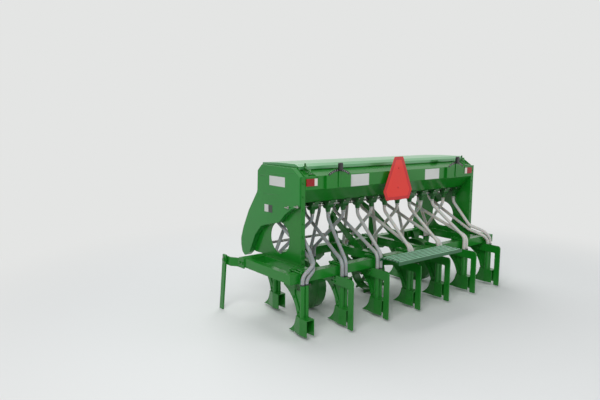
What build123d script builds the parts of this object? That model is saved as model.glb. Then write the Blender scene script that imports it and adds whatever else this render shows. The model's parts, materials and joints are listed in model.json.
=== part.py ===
from build123d import *
import math
import os

os.makedirs("parts", exist_ok=True)

# Driving dimensions in millimetres. X runs across the drill, +Y is the way it travels and +Z is up.
# Y is counted from the tips of the rear openers, and Z from the ground that the drill stands on.

# Rows and frame
ROW_PITCH = 186
ROW_COUNT = 13
ROW_STAGGER = 600
BEAM = 70
BEAM_WALL = 5
BEAM_BOTTOM = 395
BEAM_LENGTH = 2430
BEAM_CAP = 6
REAR_BEAM_Y = -95
SIDE_BEAM_X = 1190
SIDE_BEAM_WIDTH = 50
RAIL_WIDTH = 50
INNER_RAIL_X = 250
END_RAIL_X = 1010

# Openers, sizes counted from the row's own tip
SHANK_THICK = 22
SHANK_DEPTH = 30
SHANK_TOP_STANDOFF = 15
SHANK_NECK_Z = 300
SHANK_WAIST = (-52, 242)
HORN_TOP = 369
HORN_THICK = 29
HORN_REACH = 72
FRONT_HORN_REACH = 18
BOOT_WIDTH = 72
BOOT_SHEET = 6
BOOT_TIP = (14, 16)
BOOT_TIP_HALF = 9
BOOT_NOSE_HALF = 14
BOOT_HEEL = (-228, 29)
BOOT_TOP = 150
BOOT_SHOULDER_Y = -89
BOOT_THROAT_Y = -140
BOOT_POCKET_Y = -150
BOOT_WEB = 6
BOOT_WEB_TOP = 330
BOOT_TUBE_Y = -160
BOOT_TUBE_R = 17
BOOT_TUBE_TOP = 385
SOCKET_SPREAD = 36
CLAMP_PLATE = 8
CLAMP_WIDTH = 48
CLAMP_BOLT_R = 5.5
CLAMP_BOLT_X = 17.5
CLAMP_BOLT_EDGE = 3

# Covering bars
BAR_THICK = 12
BAR_WIDTH = 50
BAR_REAR = -310
BAR_FRONT = 75
BAR_BOTTOM = 20
BAR_ARM_HEIGHT = 70
BAR_NOSE = (338, 375)
BAR_CORNER_R = 26
BAR_INNER_R = 8
BAR_CLEAR = 1

# Hopper, end plates and lid
PLATE_X = 998
PLATE_THICK = 4
PLATE_REAR = -10
PLATE_FLANGE = 34
PLATE_HOLE_R = 124
PLATE_HOLE_Y = 297
PLATE_HOLE_Z = 634
PLATE_FRONT = 600
PLATE_TOE = 683
HOPPER_TOP = 1195
HOPPER_WALL = 3
BAND_Y = -12
BAND_BOTTOM = 1035
BAND_TOP = 1133
NECK_REAR = 85
NECK_FRONT = 535
NECK_BOTTOM = 1172
HOPPER_FRONT = 598
TROUGH_BOTTOM = 925
TROUGH_WIDTH = 110
TROUGH_Y = (150, 450)
RIDGE_Z = 1010
LID_THICK = 3
LID_LIP = 19
LID_CROWN = 20
LID_BEVEL = 45
LID_CROWN_FRONT = 330
LID_FRONT_RISE = 11
LID_CLEAR = 5
SEAT = 0.3
HINGE_PIN_R = 4
HINGE_BARREL_R = 7.5
HINGE_Y = 549
HINGE_DROP = 6
HINGE_LENGTH = 90
HINGE_X = (-760, 0, 760)
RUNNING_FIT = 0.05

# Metering
UNIT_PITCH = 160
CUP_WIDTH = 66
CUP_DEPTH = 84
CUP_TOP_HEIGHT = 28
CUP_ROLL_R = 34
CUP_ROLL_DROP = 38
SPOUT_BOTTOM = 825
SPOUT_R = 18
FEED_SHAFT_R = 9
SHAFT_CLEAR = 0.2

# Hoses
HOSE_R = 14
HOSE_INSERT = 30
HOSE_BEND = 70
HOSE_DROP = 48
HOSE_RISE_REAR = 118
HOSE_RISE_FRONT = 88
HOSE_END_CLEAR = 30
HOSE_END_Z = (568, 528)
HOSE_END_X = 1030
HOSE_END_LOW = (522, 480)
HOSE_END_RISE = (62, 40)

# Chain cover on the left end
COVER_DEPTH = 46
COVER_FRONT = 796

# Rate quadrants
QUADRANT_X = (-690, 730)
QUADRANT_R = 185
QUADRANT_HALF = 122
QUADRANT_TOP = 1180
QUADRANT_STANDOFF = 16
QUADRANT_SHEET = 3
LEVER_WIDTH = 16
LEVER_THICK = 5
KNOB_WIDTH = 38
KNOB_DEPTH = 24
KNOB_HEIGHT = 62

# Footboard
STEP_HALF = 388
STEP_FRONT = -186
STEP_REAR = -380
STEP_TOP = 480
STEP_SHEET = 3
STEP_RIB_R = 7
STEP_RIB_COUNT = 6
STEP_EDGE = 24
STEP_BRACKET_X = 300
STEP_BRACKET_THICK = 8

# Warning triangle
SMV_X = -50
SMV_BOTTOM = 896
SMV_TOP = 1250
SMV_Y = -42
SMV_THICK = 3

# Hitch
LOWER_PIN_SPAN = 825
LOWER_PIN_R = 14
LOWER_PIN_LENGTH = 90
LOWER_PIN_SHOULDER_R = 17
LOWER_PIN_HEAD = (25, 12)
LOWER_PIN_Y = 642
LOWER_PIN_Z = 350
MAST_HEIGHT = 610
TOP_BORE_R = 12.75
TOP_BORE_Y = 645
CLEVIS_GAP = 52
CLEVIS_EAR = 12
POST_WIDTH = 60
POST_THICK = 16
POST_BEND_Z = 700
POST_TOP_DROP = 95
BRACE_THICK = 12
BRACE_WIDTH = 55
BRACE_FOOT_Y = 195

# Gauge wheels
GAUGE_X = 690
GAUGE_Y = 350
GAUGE_R = 205
GAUGE_WIDTH = 70
GAUGE_RIM = 6
GAUGE_AXLE_R = 12
GAUGE_HUB_R = 26
FORK_GAP = 8
FORK_PLATE = 8

# Ground drive wheel, its arm and the cross shaft that the arm swings on
DRIVE_Y = 335
DRIVE_TIP_R = 205
DRIVE_RIM_R = 172
DRIVE_WIDTH = 90
DRIVE_RIM = 7
DRIVE_LUGS = 12
LUG_THICK = 9
DRIVE_SPOKES = 6
DRIVE_HUB_R = 30
CROSS_SHAFT_Y = 705
CROSS_SHAFT_Z = 500
CROSS_SHAFT_R = 12.5
ARM_X = 68
ARM_THICK = 10
ARM_WIDTH = 46
BEARING_X = (-880, -140, 140)
BEARING_THICK = 10

# Parking stands
STAND_PIVOT_Y = 681
STAND_PIVOT_Z = 425
STAND_FOOT_Y = 740
STAND_TOP = 468
STAND_WIDTH = 48
STAND_THICK = 14
STAND_PIN_R = 8
STAND_ARM_THICK = 10
STAND_ARM_X = 1262
STAND_ARM_Z = (385, 455)
STAND_BOSS_R = 15

# Places worked out from the sizes above
BEAM_TOP = BEAM_BOTTOM + BEAM
BEAM_Z = BEAM_BOTTOM + BEAM / 2
FRONT_BEAM_Y = REAR_BEAM_Y + ROW_STAGGER
REAR_FACE = REAR_BEAM_Y + BEAM / 2
REAR_BACK = REAR_BEAM_Y - BEAM / 2
FRONT_FACE = FRONT_BEAM_Y + BEAM / 2
FRONT_BACK = FRONT_BEAM_Y - BEAM / 2
BEAM_HALF = BEAM_LENGTH / 2
PLATE_INNER = PLATE_X - PLATE_THICK / 2
PLATE_OUTER = PLATE_X + PLATE_THICK / 2
RAIL_X = (-END_RAIL_X, -INNER_RAIL_X, INNER_RAIL_X, END_RAIL_X)
HALF_ROWS = (ROW_COUNT - 1) // 2
ROWS = range(-HALF_ROWS, HALF_ROWS + 1)
REAR_ROWS = [k for k in ROWS if (k - HALF_ROWS) % 2 == 0]
FRONT_ROWS = [k for k in ROWS if (k - HALF_ROWS) % 2 == 1]
SHAFT_Z = TROUGH_BOTTOM - CUP_ROLL_DROP
HINGE_Z = HOPPER_TOP - HINGE_DROP
LID_BOTTOM = HOPPER_TOP + SEAT
TOP_BORE_Z = LOWER_PIN_Z + MAST_HEIGHT
CENTRE_Y = (STEP_REAR + COVER_FRONT) / 2


def save(node, *solids):
    """Write one node, moved so that the origin is under the middle of the drill."""
    placed = [Pos(0, -CENTRE_Y, 0) * solid for solid in solids]
    shape = placed[0] if len(placed) == 1 else Compound(children=placed)
    export_step(shape, f"parts/{node}.step")


def block(x0, x1, y0, y1, z0, z1):
    """A box from its lowest to its highest corner."""
    size = Box(abs(x1 - x0), abs(y1 - y0), abs(z1 - z0))
    return Pos((x0 + x1) / 2, (y0 + y1) / 2, (z0 + z1) / 2) * size


def plate_yz(outline, x0, x1):
    """A plate whose outline is drawn in Y and Z, from x0 to x1."""
    face = outline if isinstance(outline, Sketch) else make_face(outline)
    low, high = min(x0, x1), max(x0, x1)
    return extrude(Plane.YZ.offset(low) * face, high - low)


def plate_xz(outline, y0, y1):
    """A plate whose outline is drawn in X and Z, from y0 forwards to y1."""
    face = outline if isinstance(outline, Sketch) else make_face(outline)
    return extrude(Plane.XZ.offset(-y1) * face, y1 - y0)


def rod_x(radius, x0, x1, y, z):
    """A round bar along X."""
    return Pos((x0 + x1) / 2, y, z) * Rot(0, 90, 0) * Cylinder(radius, abs(x1 - x0))


def flat_bar(start, end, width, thick, across):
    """A flat bar between two points, its width along the direction across."""
    run = Vector(*end) - Vector(*start)
    plane = Plane(origin=start, x_dir=across, z_dir=run)
    return extrude(plane * Rectangle(width, thick), run.length)


def hull_plate(circles, x0, x1):
    """A plate in Y and Z with the outline of a belt round the circles (y, z, radius)."""
    edges = [edge for y, z, radius in circles for edge in (Pos(y, z) * Circle(radius)).edges()]
    return plate_yz(Sketch() + make_hull(edges), x0, x1)


def both_sides(solid):
    """The solid and its mirror image in the drill's middle plane."""
    return solid, mirror(solid, about=Plane.YZ)


# Frame: square tubes, the two long ones capped at their ends
def tube_x(y, length):
    outer = Box(length, BEAM, BEAM)
    inner = Box(length, BEAM - 2 * BEAM_WALL, BEAM - 2 * BEAM_WALL)
    return Pos(0, y, BEAM_Z) * (outer - inner)


def tube_y(x, width):
    length = ROW_STAGGER - BEAM
    outer = Box(width, length, BEAM)
    inner = Box(width - 2 * BEAM_WALL, length, BEAM - 2 * BEAM_WALL)
    return Pos(x, (REAR_FACE + FRONT_BACK) / 2, BEAM_Z) * (outer - inner)


def beam_cap(side, y):
    edge = side * (BEAM_HALF + BEAM_CAP)
    return block(side * BEAM_HALF, edge, y - BEAM / 2, y + BEAM / 2, BEAM_BOTTOM, BEAM_TOP)


save("rear_beam", tube_x(REAR_BEAM_Y, BEAM_LENGTH))
save("front_beam", tube_x(FRONT_BEAM_Y, BEAM_LENGTH))
save("side_beams", *[tube_y(side * SIDE_BEAM_X, SIDE_BEAM_WIDTH) for side in (-1, 1)])
save("inner_rails", *[tube_y(x, RAIL_WIDTH) for x in RAIL_X])
save("beam_caps", *[beam_cap(side, REAR_BEAM_Y) for side in (-1, 1)])


# Openers: a curved shank on the beam's front face, and a boot with two hose sockets behind it
SHANK_BACK = REAR_FACE
SHANK_FRONT = REAR_FACE + SHANK_DEPTH
SHANK_TOP = BEAM_TOP + SHANK_TOP_STANDOFF
BOOT_SHOULDER = (BOOT_SHOULDER_Y, BOOT_TOP)
BOOT_THROAT = (BOOT_THROAT_Y, BOOT_TOP)
BOOT_HALF = BOOT_WIDTH / 2


def shank(reach):
    """A bent bar: up the beam's front face, with a horn reaching forwards and a curved front edge."""
    curve = ThreePointArc((HORN_REACH, HORN_TOP - HORN_THICK), SHANK_WAIST, BOOT_SHOULDER)
    rest = Polyline(
        BOOT_SHOULDER,
        BOOT_THROAT,
        (SHANK_BACK, SHANK_NECK_Z),
        (SHANK_BACK, SHANK_TOP),
        (SHANK_FRONT, SHANK_TOP),
        (SHANK_FRONT, HORN_TOP),
        (HORN_REACH, HORN_TOP),
        (HORN_REACH, HORN_TOP - HORN_THICK),
    )
    solid = plate_yz([curve, rest], -SHANK_THICK / 2, SHANK_THICK / 2)
    if reach < HORN_REACH:
        solid -= block(-SHANK_THICK, SHANK_THICK, reach, HORN_REACH + 1, 0, SHANK_TOP)
    return solid


def boot():
    """A wedge of folded sheet, open behind and below, with two tubes and a web up to the shank."""
    nose = ThreePointArc(BOOT_SHOULDER, (-58, 75), BOOT_TIP)
    rest = Polyline(BOOT_TIP, BOOT_HEEL, (BOOT_HEEL[0], BOOT_TOP), BOOT_SHOULDER)
    side = plate_yz([nose, rest], -BOOT_HALF, BOOT_HALF)
    half_plan = [
        # y, half width
        (BOOT_TIP[0], BOOT_TIP_HALF),
        (REAR_FACE, BOOT_NOSE_HALF),
        (BOOT_POCKET_Y, BOOT_HALF),
        (BOOT_HEEL[0], BOOT_HALF),
    ]
    plan = [(half, y) for y, half in half_plan] + [(-half, y) for y, half in reversed(half_plan)]
    solid = side & extrude(make_face(Polyline(*plan, close=True)), BOOT_TOP)
    inner = BOOT_HALF - BOOT_SHEET
    roof = BOOT_TOP - BOOT_SHEET
    solid -= block(-inner, inner, BOOT_HEEL[0] - 1, BOOT_POCKET_Y, 0, roof)
    web = Polyline(
        (BOOT_TUBE_Y, BOOT_TOP),
        BOOT_THROAT,
        (SHANK_BACK, SHANK_NECK_Z),
        (SHANK_BACK, BOOT_WEB_TOP),
        (BOOT_TUBE_Y, BOOT_WEB_TOP),
        close=True,
    )
    solid += plate_yz(web, -BOOT_WEB / 2, BOOT_WEB / 2)
    height = BOOT_TUBE_TOP - BOOT_TOP
    for x in (-SOCKET_SPREAD / 2, SOCKET_SPREAD / 2):
        solid += Pos(x, BOOT_TUBE_Y, BOOT_TOP + height / 2) * Cylinder(BOOT_TUBE_R, height)
    for x in (-SOCKET_SPREAD / 2, SOCKET_SPREAD / 2):
        place = Pos(x, BOOT_TUBE_Y, BOOT_TUBE_TOP - HOSE_INSERT / 2)
        solid -= place * Cylinder(HOSE_R + SHAFT_CLEAR, HOSE_INSERT)
    return solid


def clamp():
    """A front plate over the shank, a rear plate behind the beam and four bolts between them."""
    low = BEAM_BOTTOM - 2 * CLAMP_BOLT_R - CLAMP_BOLT_EDGE
    high = BEAM_TOP + 2 * CLAMP_BOLT_R + CLAMP_BOLT_EDGE
    half = CLAMP_WIDTH / 2
    front = block(-half, half, SHANK_FRONT, SHANK_FRONT + CLAMP_PLATE, low, high)
    rear = block(-half, half, REAR_BACK - CLAMP_PLATE, REAR_BACK, low, high)
    solid = front + rear
    length = SHANK_FRONT - REAR_BACK
    for side in (-1, 1):
        for z in (BEAM_BOTTOM - CLAMP_BOLT_R, BEAM_TOP + CLAMP_BOLT_R):
            place = Pos(side * CLAMP_BOLT_X, (SHANK_FRONT + REAR_BACK) / 2, z)
            solid += place * Rot(90, 0, 0) * Cylinder(CLAMP_BOLT_R, length)
    return solid


def covering_bar():
    """A flat arm under the rear beam, past the shank's side, that turns down behind the boot."""
    top = BEAM_BOTTOM
    low = top - BAR_ARM_HEIGHT
    nose_low, nose_top = BAR_NOSE
    x1 = -(SOCKET_SPREAD / 2 + BOOT_TUBE_R + BAR_CLEAR)
    outline = FilletPolyline(
        (REAR_FACE, top),
        (BAR_REAR, top),
        (BAR_REAR, BAR_BOTTOM),
        (BAR_REAR + BAR_WIDTH, BAR_BOTTOM),
        (BAR_REAR + BAR_WIDTH, low),
        (REAR_FACE, low),
        (BAR_FRONT, nose_low),
        (BAR_FRONT, nose_top),
        radius=[2, BAR_CORNER_R, 2, 2, BAR_INNER_R, 2, 2, 2],
        close=True,
    )
    return plate_yz(outline, x1 - BAR_THICK, x1)


def on_rows(solid, rows, y=0):
    return [Pos(k * ROW_PITCH, y, 0) * solid for k in rows]


one_boot = boot()
one_clamp = clamp()
save("rear_shanks", *on_rows(shank(HORN_REACH), REAR_ROWS))
save("front_shanks", *on_rows(shank(FRONT_HORN_REACH), FRONT_ROWS, ROW_STAGGER))
save("rear_boots", *on_rows(one_boot, REAR_ROWS))
save("front_boots", *on_rows(one_boot, FRONT_ROWS, ROW_STAGGER))
save("rear_clamps", *on_rows(one_clamp, REAR_ROWS))
save("front_clamps", *on_rows(one_clamp, FRONT_ROWS, ROW_STAGGER))
save("covering_bars", *on_rows(covering_bar(), REAR_ROWS[1:]))


# End plates: one sheet at each end, with a round hole and a flange along the rear edge
PLATE_OUTLINE = [
    (PLATE_REAR, BEAM_TOP),
    (PLATE_REAR, BAND_TOP),
    (NECK_REAR, HOPPER_TOP),
    (NECK_FRONT, HOPPER_TOP),
    (PLATE_FRONT, BAND_TOP),
    (PLATE_FRONT, 905),
    (PLATE_TOE, BEAM_TOP),
]


def end_plate(side):
    outline = Polyline(*PLATE_OUTLINE, close=True)
    sheet = plate_yz(outline, side * PLATE_INNER, side * PLATE_OUTER)
    sheet -= rod_x(PLATE_HOLE_R, -BEAM_LENGTH, BEAM_LENGTH, PLATE_HOLE_Y, PLATE_HOLE_Z)
    edge = side * (PLATE_OUTER + PLATE_FLANGE)
    flange = block(side * PLATE_OUTER, edge, PLATE_REAR, PLATE_REAR + PLATE_THICK, BEAM_TOP, BAND_TOP)
    return sheet + flange


save("left_end_plate", end_plate(-1))
save("right_end_plate", end_plate(1))

# Chain cover: a pressed box on the left end, running down forwards to a round lobe
COVER_OUTLINE = [
    # y, z, corner radius
    (PLATE_REAR + PLATE_THICK + 1, 916, 4),
    (92, 887, 40),
    (169, 839, 30),
    (249, 766, 60),
    (408, 728, 60),
    (491, 706, 60),
    (578, 621, 60),
    (669, 457, 40),
    (732, 412, 40),
    (780, 444, 40),
    (COVER_FRONT, 505, 60),
    (COVER_FRONT, 560, 60),
    (757, 657, 80),
    (675, 807, 80),
    (544, 978, 60),
    (537, 1144, 16),
    (482, HOPPER_TOP - 2, 12),
    (NECK_REAR, HOPPER_TOP - 5, 12),
    (PLATE_REAR + PLATE_THICK + 1, BAND_TOP - 5, 12),
]


def chain_cover():
    points = [(y, z) for y, z, radius in COVER_OUTLINE]
    radii = [radius for y, z, radius in COVER_OUTLINE]
    outline = FilletPolyline(*points, radius=radii, close=True)
    return plate_yz(outline, -PLATE_OUTER - COVER_DEPTH, -PLATE_OUTER)


save("chain_cover", chain_cover())


# Hopper: one folded sheet with two troughs, a wall between them and closed ends
def hopper_points():
    rear, front = TROUGH_Y
    half = TROUGH_WIDTH / 2
    return [
        (NECK_REAR, HOPPER_TOP),
        (NECK_REAR, NECK_BOTTOM),
        (BAND_Y, BAND_TOP),
        (BAND_Y, BAND_BOTTOM),
        (rear - half, TROUGH_BOTTOM),
        (rear + half, TROUGH_BOTTOM),
        ((rear + front) / 2, RIDGE_Z),
        (front - half, TROUGH_BOTTOM),
        (front + half, TROUGH_BOTTOM),
        (HOPPER_FRONT, BAND_BOTTOM),
        (HOPPER_FRONT, BAND_TOP),
        (NECK_FRONT, NECK_BOTTOM),
        (NECK_FRONT, HOPPER_TOP),
    ]


def hopper():
    face = make_face(Polyline(*hopper_points(), close=True))
    inside = offset(face, amount=-HOPPER_WALL, kind=Kind.INTERSECTION)
    shell = plate_yz(Sketch() + face, -PLATE_INNER, PLATE_INNER)
    end = PLATE_INNER - HOPPER_WALL
    shell -= plate_yz(Sketch() + inside, -end, end)
    shell -= block(-end, end, NECK_REAR + HOPPER_WALL, NECK_FRONT - HOPPER_WALL, NECK_BOTTOM, HOPPER_TOP + 1)
    middle = sum(TROUGH_Y) / 2
    half = HOPPER_WALL / 2
    wall = block(-end, end, middle - half, middle + half, RIDGE_Z - 10, HOPPER_TOP - 12)
    return shell + wall


def hinge_brackets():
    """Fixed barrels on the hopper's front neck, with their pins."""
    solids = []
    for x in HINGE_X:
        start = x - HINGE_LENGTH / 2
        third = HINGE_LENGTH / 3
        barrel = rod_x(HINGE_BARREL_R, start + third + 0.5, start + 2 * third - 0.5, HINGE_Y, HINGE_Z)
        leaf = block(start + third + 0.5, start + 2 * third - 0.5, NECK_FRONT, HINGE_Y, HINGE_Z - 7, HINGE_Z - 3)
        pin = rod_x(HINGE_PIN_R, start, start + HINGE_LENGTH, HINGE_Y, HINGE_Z)
        solids.append(barrel + leaf + pin)
    return solids


LID_REAR = NECK_REAR - LID_CLEAR - LID_THICK
LID_FRONT = HINGE_Y - 2


def lid():
    """A folded sheet with a crowned top, a deep lip behind, closed ends and hinge barrels in front."""
    top = LID_BOTTOM + LID_THICK
    crown = [
        (LID_REAR, top),
        (LID_REAR + LID_BEVEL, LID_BOTTOM + LID_CROWN),
        (LID_CROWN_FRONT, LID_BOTTOM + LID_CROWN),
        (LID_FRONT, LID_BOTTOM + LID_FRONT_RISE),
    ]
    half = PLATE_INNER - LID_CLEAR
    outline = make_face(Polyline((LID_REAR, LID_BOTTOM), *crown, (LID_FRONT, LID_BOTTOM), close=True))
    solid = plate_yz(Sketch() + outline, -half, half)
    rim = LID_REAR + LID_THICK
    hollow = [
        (rim, LID_BOTTOM - 1),
        (rim, LID_BOTTOM + SEAT),
        (LID_REAR + LID_BEVEL, LID_BOTTOM + LID_CROWN - LID_THICK),
        (LID_CROWN_FRONT, LID_BOTTOM + LID_CROWN - LID_THICK),
        (LID_FRONT - LID_THICK, LID_BOTTOM + LID_FRONT_RISE - LID_THICK),
        (LID_FRONT - LID_THICK, LID_BOTTOM - 1),
    ]
    end = half - LID_THICK
    solid -= plate_yz(Polyline(*hollow, close=True), -end, end)
    solid += block(-half, half, LID_REAR, rim, LID_BOTTOM - LID_LIP, LID_BOTTOM + 1)
    third = HINGE_LENGTH / 3
    for x in HINGE_X:
        start = x - HINGE_LENGTH / 2
        gap = (start + third - 1, start + 2 * third + 1)
        solid -= block(*gap, NECK_FRONT + 1, HINGE_Y, LID_BOTTOM - 1, LID_BOTTOM + LID_CROWN)
        for x0 in (start, start + 2 * third):
            solid += rod_x(HINGE_BARREL_R, x0, x0 + third, HINGE_Y, HINGE_Z)
            solid += block(x0, x0 + third, HINGE_Y - HINGE_BARREL_R, HINGE_Y, HINGE_Z, LID_BOTTOM + 1)
        solid -= rod_x(HINGE_PIN_R + RUNNING_FIT, start - 1, start + HINGE_LENGTH + 1, HINGE_Y, HINGE_Z)
    return solid


save("hopper", hopper())
save("lid_hinges", *hinge_brackets())
save("lid", lid())


# Metering cups: a roller housing under each trough with a spout for its hose
def cup():
    z = TROUGH_BOTTOM
    top = block(-CUP_WIDTH / 2, CUP_WIDTH / 2, -CUP_DEPTH / 2, CUP_DEPTH / 2, z - CUP_TOP_HEIGHT, z)
    roll = rod_x(CUP_ROLL_R, -CUP_WIDTH / 2, CUP_WIDTH / 2, 0, z - CUP_ROLL_DROP)
    funnel_top = z - CUP_ROLL_DROP - CUP_ROLL_R * 0.6
    height = funnel_top - SPOUT_BOTTOM
    funnel = Pos(0, 0, SPOUT_BOTTOM + height / 2) * Cone(SPOUT_R, CUP_ROLL_R * 0.75, height)
    solid = top + roll + funnel
    return solid - rod_x(FEED_SHAFT_R + SHAFT_CLEAR, -CUP_WIDTH, CUP_WIDTH, 0, z - CUP_ROLL_DROP)


one_cup = cup()
for node, y in zip(("seed_cups", "fertiliser_cups"), TROUGH_Y):
    save(node, *[Pos(k * UNIT_PITCH, y, 0) * one_cup for k in ROWS])
save("feed_shafts", *[rod_x(FEED_SHAFT_R, -PLATE_INNER, PLATE_INNER, y, SHAFT_Z) for y in TROUGH_Y])


# Hoses: from each pair of cups to the two sockets of the row's boot
def hose(k, cup_row, tip_y, rise):
    """The hose of one cup, led round the end plate and over the beam where the row lies outside them."""
    away = -1 if k < 0 else 1
    outside = abs(k) * ROW_PITCH > PLATE_X
    outer_socket = bool(cup_row) != outside
    socket = away * (SOCKET_SPREAD / 2 if outer_socket else -SOCKET_SPREAD / 2)
    if outside:
        rise = HOSE_END_RISE[cup_row]
    x0, y0 = k * UNIT_PITCH, TROUGH_Y[cup_row]
    x1, y1 = k * ROW_PITCH + socket, tip_y + BOOT_TUBE_Y
    points = [Vector(x0, y0, SPOUT_BOTTOM), Vector(x0, y0, SPOUT_BOTTOM - HOSE_DROP)]
    if outside:
        via_x = away * (PLATE_INNER - HOSE_END_CLEAR)
        points.append(Vector(via_x, PLATE_REAR - HOSE_END_CLEAR, HOSE_END_Z[cup_row]))
        points.append(Vector(away * HOSE_END_X, y1, HOSE_END_LOW[cup_row]))
    points.append(Vector(x1, y1, BOOT_TUBE_TOP + rise))
    points.append(Vector(x1, y1, BOOT_TUBE_TOP - HOSE_INSERT))
    radii = []
    for before, corner, after in zip(points, points[1:], points[2:]):
        turn = (corner - before).get_angle(after - corner)
        run = min((corner - before).length, (after - corner).length / 2)
        radii.append(min(HOSE_BEND, 0.9 * run / math.tan(math.radians(turn / 2))))
    route = FilletPolyline(*points, radius=radii)
    return sweep(Plane(origin=route @ 0, z_dir=route % 0) * Circle(HOSE_R), path=route)


HOSE_NODES = (
    # node, rows, cup row, tip_y, height of the last bend over the socket
    ("seed_hoses_rear", REAR_ROWS, 0, 0, HOSE_RISE_REAR),
    ("fertiliser_hoses_rear", REAR_ROWS, 1, 0, HOSE_RISE_REAR),
    ("seed_hoses_front", FRONT_ROWS, 0, ROW_STAGGER, HOSE_RISE_FRONT),
    ("fertiliser_hoses_front", FRONT_ROWS, 1, ROW_STAGGER, HOSE_RISE_FRONT),
)
for node, rows, cup_row, tip_y, rise in HOSE_NODES:
    save(node, *[hose(k, cup_row, tip_y, rise) for k in rows])


# Rate quadrants: an arched plate stood off the rear band, with a lever and a knob
QUADRANT_Z = QUADRANT_TOP - QUADRANT_R
QUADRANT_Y = BAND_Y - QUADRANT_STANDOFF
LEVER_Y = QUADRANT_Y - QUADRANT_SHEET - 2
KNOB_BOTTOM = QUADRANT_TOP - 17


def quadrant():
    half = QUADRANT_HALF
    shoulder = QUADRANT_Z + math.sqrt(QUADRANT_R**2 - half**2)
    arch = ThreePointArc((-half, shoulder), (0, QUADRANT_TOP), (half, shoulder))
    sides = Polyline((half, shoulder), (half, BAND_BOTTOM), (-half, BAND_BOTTOM), (-half, shoulder))
    sheet = plate_xz([arch, sides], QUADRANT_Y - QUADRANT_SHEET, QUADRANT_Y)
    for x in (-half, half - QUADRANT_SHEET):
        sheet += block(x, x + QUADRANT_SHEET, QUADRANT_Y, BAND_Y, BAND_BOTTOM, BAND_TOP - 4)
    sheet += Pos(0, LEVER_Y + 1, QUADRANT_Z + 60) * Rot(90, 0, 0) * Cylinder(12, 2)
    return sheet


def lever():
    bottom = QUADRANT_Z + 46
    return block(-LEVER_WIDTH / 2, LEVER_WIDTH / 2, LEVER_Y - LEVER_THICK, LEVER_Y, bottom, KNOB_BOTTOM)


def knob():
    top = KNOB_BOTTOM + KNOB_HEIGHT
    body = block(-KNOB_WIDTH / 2, KNOB_WIDTH / 2, LEVER_Y - KNOB_DEPTH, LEVER_Y, KNOB_BOTTOM, top)
    return fillet(body.edges(), KNOB_DEPTH / 3)


save("rate_quadrants", *[Pos(x, 0, 0) * quadrant() for x in QUADRANT_X])
save("rate_levers", *[Pos(x, 0, 0) * lever() for x in QUADRANT_X])
save("lever_knobs", *[Pos(x, 0, 0) * knob() for x in QUADRANT_X])


# Footboard: a ribbed tread between two bracket arms on the rear beam
def footboard():
    solid = block(-STEP_HALF, STEP_HALF, STEP_REAR, STEP_FRONT, STEP_TOP - STEP_SHEET, STEP_TOP)
    for y0, y1 in ((STEP_REAR, STEP_REAR + STEP_SHEET), (STEP_FRONT - STEP_SHEET, STEP_FRONT)):
        solid += block(-STEP_HALF, STEP_HALF, y0, y1, STEP_TOP - STEP_EDGE, STEP_TOP)
    slot = STEP_BRACKET_THICK / 2 + 1
    for x in (-STEP_BRACKET_X, STEP_BRACKET_X):
        bottom = STEP_TOP - STEP_SHEET
        solid -= block(x - slot, x + slot, STEP_REAR + STEP_EDGE, STEP_FRONT + 1, bottom - STEP_EDGE, bottom)
    spacing = (STEP_FRONT - STEP_REAR) / STEP_RIB_COUNT
    for i in range(STEP_RIB_COUNT):
        y = STEP_REAR + spacing * (i + 0.5)
        rib = rod_x(STEP_RIB_R, -STEP_HALF + 12, STEP_HALF - 12, y, STEP_TOP - STEP_SHEET)
        solid += rib & block(-STEP_HALF, STEP_HALF, STEP_REAR, STEP_FRONT, STEP_TOP - STEP_SHEET, STEP_TOP + 20)
    return solid


def step_bracket():
    top = STEP_TOP - STEP_SHEET
    outline = Polyline(
        (REAR_BACK - CLAMP_PLATE, BEAM_BOTTOM + 4),
        (STEP_REAR + 4, top - 26),
        (STEP_REAR + 4, top),
        (REAR_BACK - CLAMP_PLATE, top),
        close=True,
    )
    half = STEP_BRACKET_THICK / 2
    arm = plate_yz(outline, STEP_BRACKET_X - half, STEP_BRACKET_X + half)
    foot = block(STEP_BRACKET_X - 30, STEP_BRACKET_X + 30, REAR_BACK - CLAMP_PLATE, REAR_BACK, BEAM_BOTTOM, BEAM_TOP)
    return arm + foot


save("footboard", footboard())
save("footboard_brackets", *both_sides(step_bracket()))

# Warning triangle on a strap behind the band
SMV_WIDEST_Z = 970
SMV_OUTLINE = [
    # half width, z
    (135, SMV_BOTTOM),
    (170, SMV_WIDEST_Z),
    (50, SMV_TOP),
]


def smv_sign():
    right = [(SMV_X + half, z) for half, z in SMV_OUTLINE]
    left = [(SMV_X - half, z) for half, z in reversed(SMV_OUTLINE)]
    outline = FilletPolyline(*right, *left, radius=9, close=True)
    return plate_xz(outline, SMV_Y - SMV_THICK, SMV_Y)


def smv_strap():
    strap = block(SMV_X - 20, SMV_X + 20, SMV_Y, SMV_Y + 5, 930, 1215)
    for z in (BAND_BOTTOM + 12, BAND_TOP - 32):
        strap += block(SMV_X - 20, SMV_X + 20, SMV_Y + 5, BAND_Y, z, z + 20)
    return strap


save("warning_triangle", smv_sign())
save("triangle_strap", smv_strap())


# Reflectors and blank plates
def reflector(side):
    inner = side * (PLATE_INNER - 106)
    return block(inner, side * (PLATE_INNER - 6), BAND_Y - 8, BAND_Y, 1062, 1116)


save("reflectors", *[reflector(side) for side in (-1, 1)])
save("rear_label", block(-552, -357, BAND_Y - 1.5, BAND_Y, 1034, 1126))


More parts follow.
